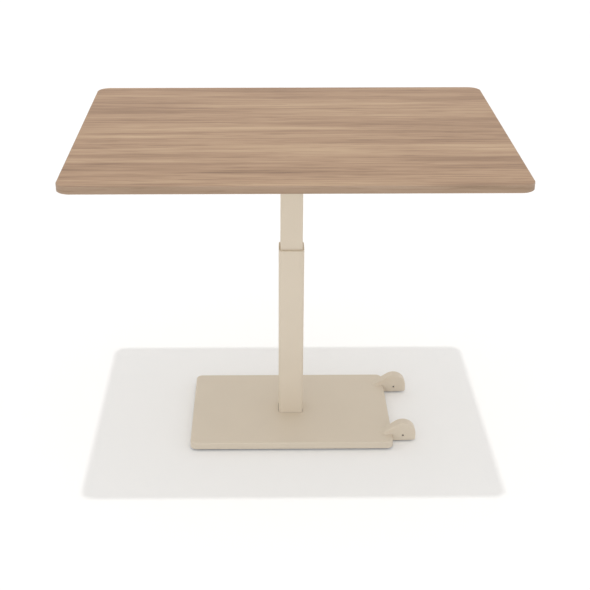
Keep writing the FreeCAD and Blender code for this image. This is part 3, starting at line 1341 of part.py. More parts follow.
def make_paddle():
    """The moulded paddle under the front edge, in a folded steel bracket."""
    part = body("release_paddle", x=S.lever_x, y=lever_y, z=lever_z)
    hub = S.paddle_hub_radius
    high = -S.paddle_drop
    low = high - S.paddle_thickness
    reach = -S.paddle_reach
    root = -S.paddle_root
    neck_half = S.paddle_neck
    arm_half = S.paddle_arm_half

    blade = sketch(part, "blade", lift=low)
    half = S.paddle_width / 2
    polygon(blade, (-half, reach), (half, reach), (half, root), (-half, root))
    plate_pad = pad(part, blade, S.paddle_thickness)
    rounded_edges(
        part, plate_pad, S.paddle_corner,
        lambda edge: edge.BoundBox.ZLength > 1 and edge.BoundBox.YMax < reach.number / 2,
    )
    neck = sketch(part, "neck", role="YZ_Plane")
    polygon(neck, (2 * root, low), (2 * root, high), (-neck_half, neck_half), (neck_half, neck_half),
            (arm_half, -hub / 2), (root / 2, low))
    pad(part, neck, S.paddle_hub_width, symmetric=True)
    barrel = sketch(part, "hub", role="YZ_Plane")
    circle(barrel, hub)
    pad(part, barrel, S.paddle_hub_width, symmetric=True)
    fork = S.barrel_radius + S.barrel_gap + S.fork_wall
    arm = sketch(part, "arm", role="YZ_Plane")
    polygon(arm, (-fork, -S.paddle_arm), (fork, -S.paddle_arm), (arm_half, 0), (-arm_half, 0))
    pad(part, arm, S.rocker_width, symmetric=True)
    end = sketch(part, "arm_end", role="YZ_Plane")
    circle(end, fork, 0, -S.paddle_arm)
    pad(part, end, S.rocker_width, symmetric=True)
    for name, radius, z in (
        ("pivot_bore", S.pivot_radius + S.pivot_fit, 0),
        ("barrel_bore", S.barrel_radius + S.barrel_gap, -S.paddle_arm),
    ):
        drawing = sketch(part, name, role="YZ_Plane")
        circle(drawing, radius, 0, z)
        pocket(part, drawing, 2 * S.paddle_width, symmetric=True)
    slot = sketch(part, "fork_slot", role="XZ_Plane")
    width = S.fork_slot / 2
    roof = fork - S.paddle_arm
    polygon(slot, (-width, -S.paddle_arm - 2 * fork), (width, -S.paddle_arm - 2 * fork),
            (width, roof), (-width, roof))
    pocket(part, slot, 4 * fork, symmetric=True)

    node(rod("paddle_pivot_pin", S.pivot_radius, 2 * (paddle_cheek_x + S.cheek),
             S.lever_x - paddle_cheek_x - S.cheek, lever_y, lever_z, ALONG_X), "paddle_pivot_pin")
    pieces = []
    plate_z = top_underside - S.cheek
    plate_depth = S.bracket_back + S.bracket_front
    plate_y = lever_y + (S.bracket_back - S.bracket_front) / 2
    plate_x = 2 * (paddle_cheek_x + S.cheek + S.bracket_flange)
    pieces.append(box("paddle_bracket_plate", plate_x, plate_depth, S.cheek, S.lever_x, plate_y, plate_z))
    for side in BOTH_SIDES:
        x = S.lever_x + side * (paddle_cheek_x + S.cheek / 2)
        pieces.append(box("paddle_cheek_" + SIDE_NAMES[side], S.cheek, plate_depth, hinge_cheek_drop,
                          x, plate_y, top_underside - hinge_cheek_drop))
    stop_y = paddle_stop_y + S.cheek / 2
    stop_foot = paddle_wire_z - S.ferrule_radius
    pieces.append(box("paddle_stop_tab", S.stop_width, S.cheek, top_underside - stop_foot,
                      S.lever_x, stop_y, stop_foot))
    whole = fuse("paddle_bracket_blank", *pieces)
    tools = [
        rod("paddle_pivot_hole", S.pivot_radius + S.seat_gap, 2 * plate_x, S.lever_x - plate_x,
            lever_y, lever_z, ALONG_X),
        rod("paddle_wire_hole", S.wire_radius + S.wire_gap, 4 * S.cheek, S.lever_x,
            stop_y - 2 * S.cheek, paddle_wire_z, ALONG_Y),
    ]
    for i, (x, y) in enumerate(bracket_screw_spots):
        tools.append(rod("paddle_screw_hole_%d" % i, S.small_screw_radius + S.thread_gap, S.cheek,
                         x, y, plate_z))
    node(cut("paddle_bracket", whole, *tools), "paddle_bracket")
    screws("paddle_bracket_screws", bracket_screw_spots, S.small_screw_radius,
           S.cheek + S.small_screw_bite, S.small_screw_head, S.small_screw_head_height, plate_z)


make_worktop()
make_frame()
make_head_plate()
make_column()
make_gas_spring()
make_base()
for wheel_name, wheel_side in (("rear", 1), ("front", -1)):
    make_wheel_housing("wheel_housing_" + wheel_name, wheel_side * S.housing_reach)
    make_wheel(wheel_name, wheel_side * S.housing_reach)
make_rocker()
make_paddle()
make_cable()

doc.recompute()
for thing in doc.Objects:
    if "Invalid" in thing.State or "Error" in thing.State:
        raise RuntimeError("%s failed: %s" % (thing.Name, thing.State))
for thing in nodes:
    shape = thing.Shape
    if shape.isNull() or not shape.isValid() or not shape.Solids:
        raise RuntimeError("%s has no valid solid" % thing.Label)

os.makedirs("parts", exist_ok=True)
for thing in nodes:
    thing.Shape.exportStep("parts/%s.step" % thing.Label)
print("%d sub-parts written" % len(nodes))
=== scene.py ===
# %% [markdown]
# # A telescoping pedestal table
# A rectangular worktop stands on one column that slides in a tube, on a low base with two wheels. The
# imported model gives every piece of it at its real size, in metres, with +Z up. This script loads it,
# gives each surface its finish, models the small things that a CAD model leaves plain, and lights it.

# %% Load the frame
import bpy
import json
import math
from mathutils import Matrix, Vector

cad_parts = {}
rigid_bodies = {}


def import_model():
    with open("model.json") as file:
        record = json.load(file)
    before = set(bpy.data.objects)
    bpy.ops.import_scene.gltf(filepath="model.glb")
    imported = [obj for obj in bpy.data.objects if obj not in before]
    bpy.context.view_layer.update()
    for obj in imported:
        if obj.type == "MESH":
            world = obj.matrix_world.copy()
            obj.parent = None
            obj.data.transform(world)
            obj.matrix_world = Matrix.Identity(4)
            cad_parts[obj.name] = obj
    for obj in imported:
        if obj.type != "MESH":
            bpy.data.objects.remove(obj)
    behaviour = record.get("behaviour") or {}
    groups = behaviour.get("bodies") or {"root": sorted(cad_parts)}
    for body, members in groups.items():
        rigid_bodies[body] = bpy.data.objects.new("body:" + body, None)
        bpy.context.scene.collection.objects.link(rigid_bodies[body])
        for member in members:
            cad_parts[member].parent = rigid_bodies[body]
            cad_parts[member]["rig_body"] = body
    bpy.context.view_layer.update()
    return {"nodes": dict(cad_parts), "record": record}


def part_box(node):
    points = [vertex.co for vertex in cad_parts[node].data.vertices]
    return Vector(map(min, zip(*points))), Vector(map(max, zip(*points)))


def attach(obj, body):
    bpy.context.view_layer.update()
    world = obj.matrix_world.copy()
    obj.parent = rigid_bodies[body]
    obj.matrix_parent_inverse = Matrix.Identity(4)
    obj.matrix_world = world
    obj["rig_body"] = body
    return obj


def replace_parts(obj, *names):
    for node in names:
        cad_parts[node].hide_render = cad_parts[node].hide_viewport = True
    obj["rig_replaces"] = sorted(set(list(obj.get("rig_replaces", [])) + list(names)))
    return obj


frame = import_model()
nodes = frame["nodes"]
body_of = {name: node["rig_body"] for name, node in nodes.items()}
slot_of = {entry["node"]: entry["material_slot"] for entry in frame["record"]["subparts"]}
scene = bpy.context.scene
MM = 0.001
print(len(nodes), "nodes loaded")

# %% [markdown]
# ## Colour and node helpers
# Paint charts and screens give colours as sRGB hex values, but a shader adds light in linear values,
# so one function converts them. A second one adds a shader node with its settings and links, which
# keeps each material a short list of what it is made of. A number that is the same all over a surface
# is set on the shader's own socket, and a pattern reads the piece's own coordinates in metres.


# %% Colour and node helpers
def colour(hex_value):
    """The linear colour of an sRGB hex value."""
    channels = [int(hex_value[i:i + 2], 16) / 255 for i in (1, 3, 5)]
    linear = [c / 12.92 if c <= 0.04045 else ((c + 0.055) / 1.055) ** 2.4 for c in channels]
    return (*linear, 1.0)


def tinted(hex_value, share, added=0.0):
    """The linear colour of a hex value, made lighter or darker by a share and a small amount."""
    return (*(min(1.0, share * c + added) for c in colour(hex_value)[:3]), 1.0)


def add_node(tree, kind, values=None, links=None, **settings):
    """Adds one node: settings on the node itself, values on its sockets, links into its sockets."""
    node = tree.nodes.new(kind)
    for name, value in settings.items():
        setattr(node, name, value)
    for name, value in (values or {}).items():
        node.inputs[name].default_value = value
    for name, source in (links or {}).items():
        tree.links.new(source, node.inputs[name])
    return node


def new_material(name, constants):
    """A material with only a principled shader in it, and the constants on the shader's sockets."""
    material = bpy.data.materials.new(name)
    material.use_nodes = True
    tree = material.node_tree
    shader = tree.nodes["Principled BSDF"]
    for socket, value in constants.items():
        shader.inputs[socket].default_value = value
    return material, tree, shader


def place_on_object(tree, stretch=(1, 1, 1)):
    """The piece's own coordinates in metres, multiplied by stretch along X, Y and Z."""
    coords = add_node(tree, "ShaderNodeTexCoord")
    mapping = add_node(tree, "ShaderNodeMapping", {"Scale": stretch}, {"Vector": coords.outputs["Object"]})
    return mapping.outputs["Vector"]


print("middle grey, #808080, is %.3f in linear values" % colour("#808080")[0])

# %% [markdown]
# ## Camera
# The table is seen from the front, from a little left of its middle and from well above the worktop.
# A fairly long lens keeps the column upright. The picture is square, and a small shift of the lens
# puts its axis a little left of the picture's middle, so that the table stands where it should.

# %% Camera
# The place is in metres, the pitch and yaw in degrees, the focal length and the lens axis in pixels.
PICTURE_PIXELS = 590
SENSOR_MM = 36
FOCAL_PIXELS = 1176.7
AXIS_PIXEL_X = 276.0
CAMERA_PLACE = (-0.0768, -3.2410, 1.9726)
CAMERA_PITCH = 25.53
CAMERA_YAW = 0.54

bpy.ops.object.select_all(action="DESELECT")
bpy.ops.object.camera_add(
    location=CAMERA_PLACE,
    rotation=(math.radians(90 - CAMERA_PITCH), 0, math.radians(-CAMERA_YAW)),
)
camera = bpy.context.object
camera.data.sensor_width = SENSOR_MM
camera.data.lens = FOCAL_PIXELS * SENSOR_MM / PICTURE_PIXELS
camera.data.shift_x = (PICTURE_PIXELS / 2 - AXIS_PIXEL_X) / PICTURE_PIXELS
bpy.context.scene.camera = camera
print("lens %.1f mm, shift %.4f" % (camera.data.lens, camera.data.shift_x))

# %% [markdown]
# ## White room
# The table stands in a white studio, and the walls give most of the light. A little more of it comes
# from low down than from above, so the column and the base under the worktop are well lit too: the
# background's strength depends on the height of each direction. What the camera and mirror-like
# surfaces see of the room is plain white. Light Path tells those rays from the others, so the white
# backdrop shows only behind the table and in its gloss.

# %% White room
ROOM_AT_HORIZON = 0.89
ROOM_OVERHEAD = 0.80
ROOM_TINT = (1.0, 0.99, 0.975, 1.0)
WHITE = (1.0, 1.0, 1.0, 1.0)

scene.view_settings.view_transform = "Standard"
world = bpy.data.worlds.new("white room")
scene.world = world
world.use_nodes = True
sky = world.node_tree
sky.nodes.clear()


def seen_directly(tree):
    """1 for rays from the camera, from a mirror-like surface or through a clear one."""
    ray = add_node(tree, "ShaderNodeLightPath")
    seen = ray.outputs["Is Camera Ray"]
    for kind in ("Is Glossy Ray", "Is Transmission Ray"):
        either = add_node(tree, "ShaderNodeMath", links={0: seen, 1: ray.outputs[kind]},
                          operation="MAXIMUM")
        seen = either.outputs[0]
    return seen


direction = add_node(sky, "ShaderNodeTexCoord")
height = add_node(sky, "ShaderNodeSeparateXYZ", links={0: direction.outputs["Generated"]})
level = add_node(sky, "ShaderNodeMapRange", {"To Min": ROOM_AT_HORIZON, "To Max": ROOM_OVERHEAD},
                 {"Value": height.outputs["Z"]})
room = add_node(sky, "ShaderNodeBackground", {"Color": ROOM_TINT}, {"Strength": level.outputs[0]})
backdrop = add_node(sky, "ShaderNodeBackground", {"Color": WHITE, "Strength": 1.0})
mixed = add_node(sky, "ShaderNodeMixShader", links={
    0: seen_directly(sky), 1: room.outputs["Background"], 2: backdrop.outputs["Background"]})
add_node(sky, "ShaderNodeOutputWorld", links={"Surface": mixed.outputs[0]})
print("room light from %.2f overhead to %.2f at the horizon" % (ROOM_OVERHEAD, ROOM_AT_HORIZON))

# %% [markdown]
# ## Lamps
# A lamp right above the table draws the worktop's shade on the floor, with a fairly sharp edge. It is
# a sun, because the rays of a sun are parallel and the shade stays as large as the worktop. A large,
# weak area lamp stands in front and lights the faces of the column and base that look at the viewer.

# %% Lamps
# Places and sizes in metres. The sun's angle is in degrees, and a larger one softens the shade's edge.
SUN_HEIGHT = 3.0
SUN_STRENGTH = 0.72
SUN_ANGLE = 1.3
FILL_PLACE = (-0.5, -4.2, 1.1)
FILL_TARGET = (0.0, 0.0, 0.35)
FILL_SIZE = 3.0
FILL_WATTS = 17

bpy.ops.object.select_all(action="DESELECT")
bpy.ops.object.light_add(type="SUN", location=(0, 0, SUN_HEIGHT))
lamp = bpy.context.object
lamp.data.energy = SUN_STRENGTH
lamp.data.angle = math.radians(SUN_ANGLE)

bpy.ops.object.select_all(action="DESELECT")
bpy.ops.object.light_add(type="AREA", location=FILL_PLACE)
fill = bpy.context.object
fill.data.size = FILL_SIZE
fill.data.energy = FILL_WATTS
fill.rotation_euler = (Vector(FILL_TARGET) - Vector(FILL_PLACE)).to_track_quat("-Z", "Y").to_euler()
print("sun at %.2f, fill at %d W" % (SUN_STRENGTH, FILL_WATTS))

# %% [markdown]
# ## Floor
# The floor is one large plane in matt white paint, a hair under the glides, so that no two faces share
# a level. The paint is a little darker than white, which keeps the worktop's shade visible. A faint
# glow that only direct rays see brings the lit part up to white, and it lights nothing else.

# %% Floor
# The span and the drop under the glides are in metres.
FLOOR_SPAN = 24.0
FLOOR_DROP = 0.0002
FLOOR_SHADE = "#F0F0F0"
FLOOR_ROUGHNESS = 0.95
FLOOR_GLOW = 0.125

bpy.ops.object.select_all(action="DESELECT")
bpy.ops.mesh.primitive_plane_add(size=FLOOR_SPAN, location=(0, 0, -FLOOR_DROP))
floor = bpy.context.object
floor.name = "studio_floor"
paint, tree, shader = new_material("studio floor, matt white paint", {
    "Base Color": colour(FLOOR_SHADE), "Roughness": FLOOR_ROUGHNESS, "Specular IOR Level": 0.0,
    "Emission Color": WHITE})
glow = add_node(tree, "ShaderNodeMath", {1: FLOOR_GLOW}, {0: seen_directly(tree)}, operation="MULTIPLY")
tree.links.new(glow.outputs[0], shader.inputs["Emission Strength"])
floor.data.materials.append(paint)
print("floor %d m across" % FLOOR_SPAN)

# %% [markdown]
# ## Oak grain
# The worktop is printed with straight-grained oak, which shows as long streaks along the board. An
# image would do it, but noise that is stretched along the board stays sharp in a close view and never
# repeats. Four such noises make the tone, from bands about 110 mm wide to fibres 5 mm wide. Crisp
# lines go on top where a noise passes a limit: long dark and light ones, shorter dark ones, and pores
# under 1 mm wide.

# %% Oak grain
# Streaks of the print: length and width in mm, detail, offset, and how strongly each shows.
STREAKS = (
    (1600, 110, 1.0, 3.4, 0.80),
    (520, 30, 2.0, 8.1, 0.80),
    (300, 10, 2.0, 5.3, 0.45),
    (90, 5.0, 2.0, 9.2, 0.32),
)
# Crisp lines: length and width in mm, offset, where they start and end, and their strength.
DASHES = (
    (420, 8.0, 2.2, 0.57, 0.62, -0.14),
    (360, 8.0, 6.4, 0.58, 0.63, 0.11),
    (120, 5.0, 4.8, 0.60, 0.66, -0.20),
    (16, 0.9, 1.4, 0.64, 0.76, -0.10),
)
DASH_DETAIL = 1.0
MIDDLE_TONE = 0.52
NOISE_MIDDLE = 0.5
NOISE_ROUGHNESS = 0.55
NOISE_DISTORTION = 0.12
# An offset gives each noise a place of its own, by these shares along X, Y and Z.
OFFSET_SHARES = (1.0, 1.7, 0.6)


def streaks(tree, vector, length_mm, width_mm, detail, offset):
    """Noise drawn out along X: one value from 0 to 1."""
    mapping = add_node(tree, "ShaderNodeMapping", {
        "Scale": (1000 / length_mm, 1000 / width_mm, 1000 / width_mm),
        "Location": tuple(offset * share for share in OFFSET_SHARES)}, {"Vector": vector})
    noise = add_node(tree, "ShaderNodeTexNoise", {
        "Scale": 1.0, "Detail": detail, "Roughness": NOISE_ROUGHNESS, "Distortion": NOISE_DISTORTION},
        {"Vector": mapping.outputs["Vector"]})
    return noise.outputs["Fac"]


def grain(tree, vector, shades):
    """The colour and the tone, 0 dark to 1 light, of straight oak grain along X."""
    start = add_node(tree, "ShaderNodeValue")
    start.outputs[0].default_value = MIDDLE_TONE
    tone = start.outputs[0]
    for length, width, detail, offset, weight in STREAKS:
        fibre = streaks(tree, vector, length, width, detail, offset)
        centred = add_node(tree, "ShaderNodeMath", {1: NOISE_MIDDLE}, {0: fibre}, operation="SUBTRACT")
        tone = add_node(tree, "ShaderNodeMath", {1: weight}, {0: centred.outputs[0], 2: tone},
                        operation="MULTIPLY_ADD").outputs[0]
    for length, width, offset, low, high, strength in DASHES:
        fibre = streaks(tree, vector, length, width, DASH_DETAIL, offset)
        dash = add_node(tree, "ShaderNodeMapRange", {"From Min": low, "From Max": high}, {"Value": fibre})
        tone = add_node(tree, "ShaderNodeMath", {1: strength}, {0: dash.outputs[0], 2: tone},
                        operation="MULTIPLY_ADD").outputs[0]
    ramp = add_node(tree, "ShaderNodeValToRGB", links={"Fac": tone})
    stops = ramp.color_ramp.elements
    stops.remove(stops[1])
    for i, (position, shade) in enumerate(shades):
        stop = stops[0] if i == 0 else stops.new(position)
        stop.position = position
        stop.color = colour(shade)
    return ramp.outputs["Color"], tone


print("oak of", len(STREAKS), "streaks and", len(DASHES), "kinds of line")

# %% [markdown]
# ## Laminate and edge band
# The worktop's face is a high-pressure laminate, pressed against a plate with a fine texture: it is
# matt, and a low bump follows the print. The edge band is one strip of ABS, printed with the same oak
# a little darker and calmer, and glued round the board. Its grain has to follow the edge, so the sum
# of X and Y counts as the length along it. That sum never jumps, so the streaks run on through every
# corner. At two corners it turns back, which only mirrors them.

# %% Laminate and edge band
# Each tone of the grain, from 0 dark to 1 light, with its shade.
GRAIN_SHADES = (
    (0.00, "#7D6049"),
    (0.30, "#97785D"),
    (0.50, "#A9896D"),
    (0.70, "#B59779"),
    (1.00, "#C8AB8A"),
)
EDGE_SHADES = (
    (0.00, "#8E7660"),
    (0.30, "#9F866F"),
    (0.50, "#A78E78"),
    (0.70, "#AD947E"),
    (1.00, "#B59E87"),
)
MATT_SKIN = {"Roughness": 0.52, "Specular IOR Level": 0.35}
PRESS_DEPTH_MM = 0.2
PRESS_STRENGTH = 0.25


def round_the_board(tree, vector):
    """Coordinates for a strip round the board: X plus Y along it, and Z across it."""
    place = add_node(tree, "ShaderNodeSeparateXYZ", links={0: vector})
    along = add_node(tree, "ShaderNodeMath", links={0: place.outputs["X"], 1: place.outputs["Y"]},
                     operation="ADD")
    strip = add_node(tree, "ShaderNodeCombineXYZ", links={0: along.outputs[0], 2: place.outputs["Z"]})
    return strip.outputs[0]


def printed_oak(name, shades, on_edge=False):
    """Oak print under a matt skin, with its grain along X, or along the edge of the board."""
    material, tree, shader = new_material(name, MATT_SKIN)
    vector = place_on_object(tree)
    if on_edge:
        vector = round_the_board(tree, vector)
    shade, tone = grain(tree, vector, shades)
    tree.links.new(shade, shader.inputs["Base Color"])
    bump = add_node(tree, "ShaderNodeBump",
                    {"Strength": PRESS_STRENGTH, "Distance": PRESS_DEPTH_MM * MM}, {"Height": tone})
    tree.links.new(bump.outputs["Normal"], shader.inputs["Normal"])
    return material


finishes = {}
# Melamine on printed paper, pressed: long quiet streaks, and no mirror image in the skin.
finishes["laminate"] = printed_oak("oak laminate, matt melamine", GRAIN_SHADES)
# ABS, extruded and printed: the same oak with less contrast, so the edge reads as one line.
finishes["edge_band"] = printed_oak("oak edge band, ABS", EDGE_SHADES, on_edge=True)
print("laminate and edge band made")

# %% [markdown]
# ## Particle board
# The core is wood chips of 1 to 4 mm, pressed with glue, and it shows only in its screw holes. A
# Voronoi texture gives cells of random tone, which look like chips. They lie flat in the board, so
# the cells are half as high as they are wide.

# %% Particle board
CHIP_MM = 3.0
CHIP_STRETCH = (1, 1, 2)
CHIP_SHADES = ("#9C7B52", "#CDB185")
CHIP_DEPTH_MM = 0.3
CHIP_STRENGTH = 0.5
CHIP_ROUGHNESS = 0.85


def chipboard(name):
    """Raw board: cells of random tone that also stand up and sink in a little."""
    material, tree, shader = new_material(name, {"Roughness": CHIP_ROUGHNESS})
    chips = add_node(tree, "ShaderNodeTexVoronoi", {"Scale": 1000 / CHIP_MM},
                     {"Vector": place_on_object(tree, CHIP_STRETCH)})
    ramp = add_node(tree, "ShaderNodeValToRGB", links={"Fac": chips.outputs["Color"]})
    for stop, shade in zip(ramp.color_ramp.elements, CHIP_SHADES):
        stop.color = colour(shade)
    tree.links.new(ramp.outputs["Color"], shader.inputs["Base Color"])
    bump = add_node(tree, "ShaderNodeBump",
                    {"Strength": CHIP_STRENGTH, "Distance": CHIP_DEPTH_MM * MM},
                    {"Height": chips.outputs["Distance"]})
    tree.links.new(bump.outputs["Normal"], shader.inputs["Normal"])
    return material


# Wood chips, pressed and left raw: speckled, dull and pale.
finishes["core"] = chipboard("particle board")
print("particle board with %.0f mm chips" % CHIP_MM)

# %% [markdown]
# ## Powder coat and enamel
# The base, the column and the wheel housings are steel and cast aluminium under one warm beige powder
# coat. The powder melts into a skin with a fine orange-peel surface, about 1 mm from bump to bump,
# which spreads highlights wide. A fine noise in the bump makes it. Slow clouds of slightly darker
# tone keep the large faces from looking dead. Enamel is the same with other numbers.

# %% Powder coat and enamel
PAINT = "#E0D4C2"
PAINT_CLOUD_MM = 111
PAINT_CLOUD_DETAIL = 2.0
PAINT_CLOUD_SHARE = 0.955
PAINT_SPECULAR = 0.4
PEEL_DETAIL = 1.5
PEEL_STRENGTH = 0.6


def clouded(tree, shader, vector, shades, cloud_mm, detail):
    """Lets the colour drift between two shades in soft clouds, and returns the clouds' value."""
    cloud = add_node(tree, "ShaderNodeTexNoise", {"Scale": 1000 / cloud_mm, "Detail": detail},
                     {"Vector": vector})
    mix = add_node(tree, "ShaderNodeMix", {6: shades[0], 7: shades[1]},
                   {"Factor": cloud.outputs["Fac"]}, data_type="RGBA")
    tree.links.new(mix.outputs[2], shader.inputs["Base Color"])
    return cloud.outputs["Fac"]


def painted(name, shade, roughness, peel_mm=1.1, depth_mm=0.04):
    """A coat of paint with orange peel: peel_mm from bump to bump and depth_mm deep."""
    material, tree, shader = new_material(
        name, {"Roughness": roughness, "Specular IOR Level": PAINT_SPECULAR})
    vector = place_on_object(tree)
    clouded(tree, shader, vector, (colour(shade), tinted(shade, PAINT_CLOUD_SHARE)),
            PAINT_CLOUD_MM, PAINT_CLOUD_DETAIL)
    peel = add_node(tree, "ShaderNodeTexNoise", {"Scale": 1000 / peel_mm, "Detail": PEEL_DETAIL},
                    {"Vector": vector})
    bump = add_node(tree, "ShaderNodeBump", {"Strength": PEEL_STRENGTH, "Distance": depth_mm * MM},
                    {"Height": peel.outputs["Fac"]})
    tree.links.new(bump.outputs["Normal"], shader.inputs["Normal"])
    return material


# Powder coat, baked, on sheet steel and castings: even and half-matt, with soft wide highlights.
finishes["powder_coat"] = painted("powder coat, warm beige", PAINT, 0.5)
# The same coat on the frame's steel tubes, a touch duller.
finishes["frame_paint"] = painted("powder coat on frame steel", PAINT, 0.52)
# Black enamel on rolled plate, with a coarser peel: it lies in the base and swallows light.
finishes["ballast"] = painted("black enamel on plate steel", "#26262A", 0.45, 1.6)
# Black enamel on a drawn tube: smooth enough to show a clear, narrow highlight.
finishes["spring_black"] = painted("black enamel on spring tube", "#1B1B1D", 0.3, 2.0, 0.01)
print("powder coats and enamels made")

# %% [markdown]
# ## Metals
# Below the worktop are bought-in parts of plain metal. Zinc plating is bright steel with a cloudy
# passivation, black oxide is dark steel with a soft shine, and the gas spring's rod is ground and
# hard-chromed. Small clouds change both the tone and the roughness, as plating does, and the rod has
# fine scratches along its length.

# %% Metals
PLATING_CLOUD_MM = 8.33
PLATING_CLOUD_DETAIL = 3.0
PLATING_CLOUD_SHARE = 0.8
SMOOTHEST_SHARE = 0.8
ROUGHEST_SHARE = 1.25
SCRATCH_STRETCH = (1, 1, 0.02)
SCRATCH_DETAIL = 1.0
SCRATCH_DEPTH_MM = 0.01
SCRATCH_STRENGTH = 0.2


def plated(name, shade, roughness, scratch_mm=None):
    """Bare or plated metal; scratch_mm is the width of scratches along Z, where it has them."""
    material, tree, shader = new_material(name, {"Metallic": 1.0})
    clouds = clouded(tree, shader, place_on_object(tree),
                     (colour(shade), tinted(shade, PLATING_CLOUD_SHARE)),
                     PLATING_CLOUD_MM, PLATING_CLOUD_DETAIL)
    rough = add_node(tree, "ShaderNodeMapRange", {
        "To Min": roughness * SMOOTHEST_SHARE, "To Max": roughness * ROUGHEST_SHARE}, {"Value": clouds})
    tree.links.new(rough.outputs[0], shader.inputs["Roughness"])
    if scratch_mm:
        scratch = add_node(tree, "ShaderNodeTexNoise",
                           {"Scale": 1000 / scratch_mm, "Detail": SCRATCH_DETAIL},
                           {"Vector": place_on_object(tree, SCRATCH_STRETCH)})
        bump = add_node(tree, "ShaderNodeBump",
                        {"Strength": SCRATCH_STRENGTH, "Distance": SCRATCH_DEPTH_MM * MM},
                        {"Height": scratch.outputs["Fac"]})
        tree.links.new(bump.outputs["Normal"], shader.inputs["Normal"])
    return material


# Steel, electroplated with zinc: bright and slightly milky.
finishes["zinc"] = plated("zinc-plated steel", "#C4C6C6", 0.34)
# Steel, blackened in a hot bath: dark grey, with a dull metal shine.
finishes["black_steel"] = plated("black oxide steel", "#3A3A3C", 0.4)
# Steel, hard-chromed and ground: close to a mirror, drawn out into streaks.
finishes["rod_chrome"] = plated("hard chrome, ground", "#D9DADB", 0.12, 0.4)
print("plating clouds of %.1f mm" % PLATING_CLOUD_MM)

# %% [markdown]
# ## Plastics and rubber
# Guides, glides, caps and hubs are moulded in nylon and acetal, in moulds with a fine spark-eroded
# grain. A Voronoi bump of half a millimetre gives that grain, a little coarser than the real one so
# that it shows. The tyres are soft polyurethane, and the seal and the cable's jacket are drawn or
# moulded too, so one function serves them all with other numbers.

# %% Plastics and rubber
PLASTIC_CLOUD_MM = 16.7
PLASTIC_CLOUD_DETAIL = 3.0
PLASTIC_LIFT = 0.004
PLASTIC_SPECULAR = 0.4
SPARK_STRENGTH = 0.5


def moulded(name, shade, roughness, grain_mm=0.5, depth_mm=0.03, light_share=1.25):
    """A moulded surface: grain_mm from pit to pit, with clouds that are lighter by light_share."""
    material, tree, shader = new_material(
        name, {"Roughness": roughness, "Specular IOR Level": PLASTIC_SPECULAR})
    vector = place_on_object(tree)
    clouded(tree, shader, vector, (colour(shade), tinted(shade, light_share, PLASTIC_LIFT)),
            PLASTIC_CLOUD_MM, PLASTIC_CLOUD_DETAIL)
    spark = add_node(tree, "ShaderNodeTexVoronoi", {"Scale": 1000 / grain_mm}, {"Vector": vector})
    bump = add_node(tree, "ShaderNodeBump", {"Strength": SPARK_STRENGTH, "Distance": depth_mm * MM},
                    {"Height": spark.outputs["Distance"]})
    tree.links.new(bump.outputs["Normal"], shader.inputs["Normal"])
    return material


# Melamine sheet, pressed: a plain, even beige under the board.
finishes["backer"] = moulded("backer laminate, beige melamine", "#D6CDBF", 0.6, 0.8, light_share=1.06)
# Acetal, moulded: dense and slightly waxy, so it shines more than nylon.
finishes["guide_plastic"] = moulded("acetal, black", "#202022", 0.4)
# Acetal in the colour of the paint, so that the column's rim looks like one piece with it.
finishes["rim_plastic"] = moulded("acetal, beige", "#CBBEA9", 0.45)
# Nylon with a coarser and deeper grain for the hand: dull, with a fine sparkle.
finishes["black_plastic"] = moulded("nylon, black", "#232325", 0.5, 0.6, 0.05)
# Nylon, moulded, on the floor: dark and dull.
finishes["glide_plastic"] = moulded("nylon, dark grey", "#2C2C2E", 0.55)
# Polyurethane, cast on to the hub: soft, and almost without shine.
finishes["tyre_rubber"] = moulded("polyurethane tyre, dark grey", "#2B2B2C", 0.7, 0.9)
# Nylon, moulded in light grey, so that the hub stands out from the tyre.
finishes["hub_nylon"] = moulded("nylon hub, grey", "#8D8D8A", 0.5)
# Nitrile rubber, moulded: black and matt.
finishes["seal_rubber"] = moulded("nitrile rubber", "#18181A", 0.65)
# Vinyl, drawn over the cable: black, with a soft shine along it.
finishes["cable_jacket"] = moulded("vinyl cable jacket, black", "#19191B", 0.45, 0.8)
print(len(finishes), "finishes made")

# %% [markdown]
# ## Finishes on the pieces
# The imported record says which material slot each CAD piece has. Every piece of one slot shares one
# material, and a copy that is made later takes it along.

# %% Finishes on the pieces
for name, node in nodes.items():
    node.data.materials.clear()
    node.data.materials.append(finishes[slot_of[name]])
print(len(nodes), "pieces have their finish")

# %% [markdown]
# ## Smooth skins
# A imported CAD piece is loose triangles, so a shader sees every facet of a rounded corner. A copy
# whose doubled points are merged can be shaded smooth wherever two faces meet at a small angle, and
# weighted normals keep its large flat faces flat. The copy stands for the node, in the same shape.
# Working copies are merged first, and small features are cut or bevelled before the shading.

# %% Smooth skins
# The angle is in degrees, and points closer than the merge distance, in metres, become one.
SMOOTH_ANGLE = 32
MERGE_DISTANCE = 0.000005


def select_only(*pieces):
    """Selects these pieces and nothing else; the first is the active one."""
    bpy.ops.object.select_all(action="DESELECT")
    for piece in pieces:
        piece.select_set(True)
    bpy.context.view_layer.objects.active = pieces[0]


def apply_modifier(piece, kind, **settings):
    """Adds a modifier with its settings and applies it."""
    select_only(piece)
    bpy.ops.object.modifier_add(type=kind)
    modifier = piece.modifiers[-1]
    for name, value in settings.items():
        setattr(modifier, name, value)
    bpy.ops.object.modifier_apply(modifier=modifier.name)


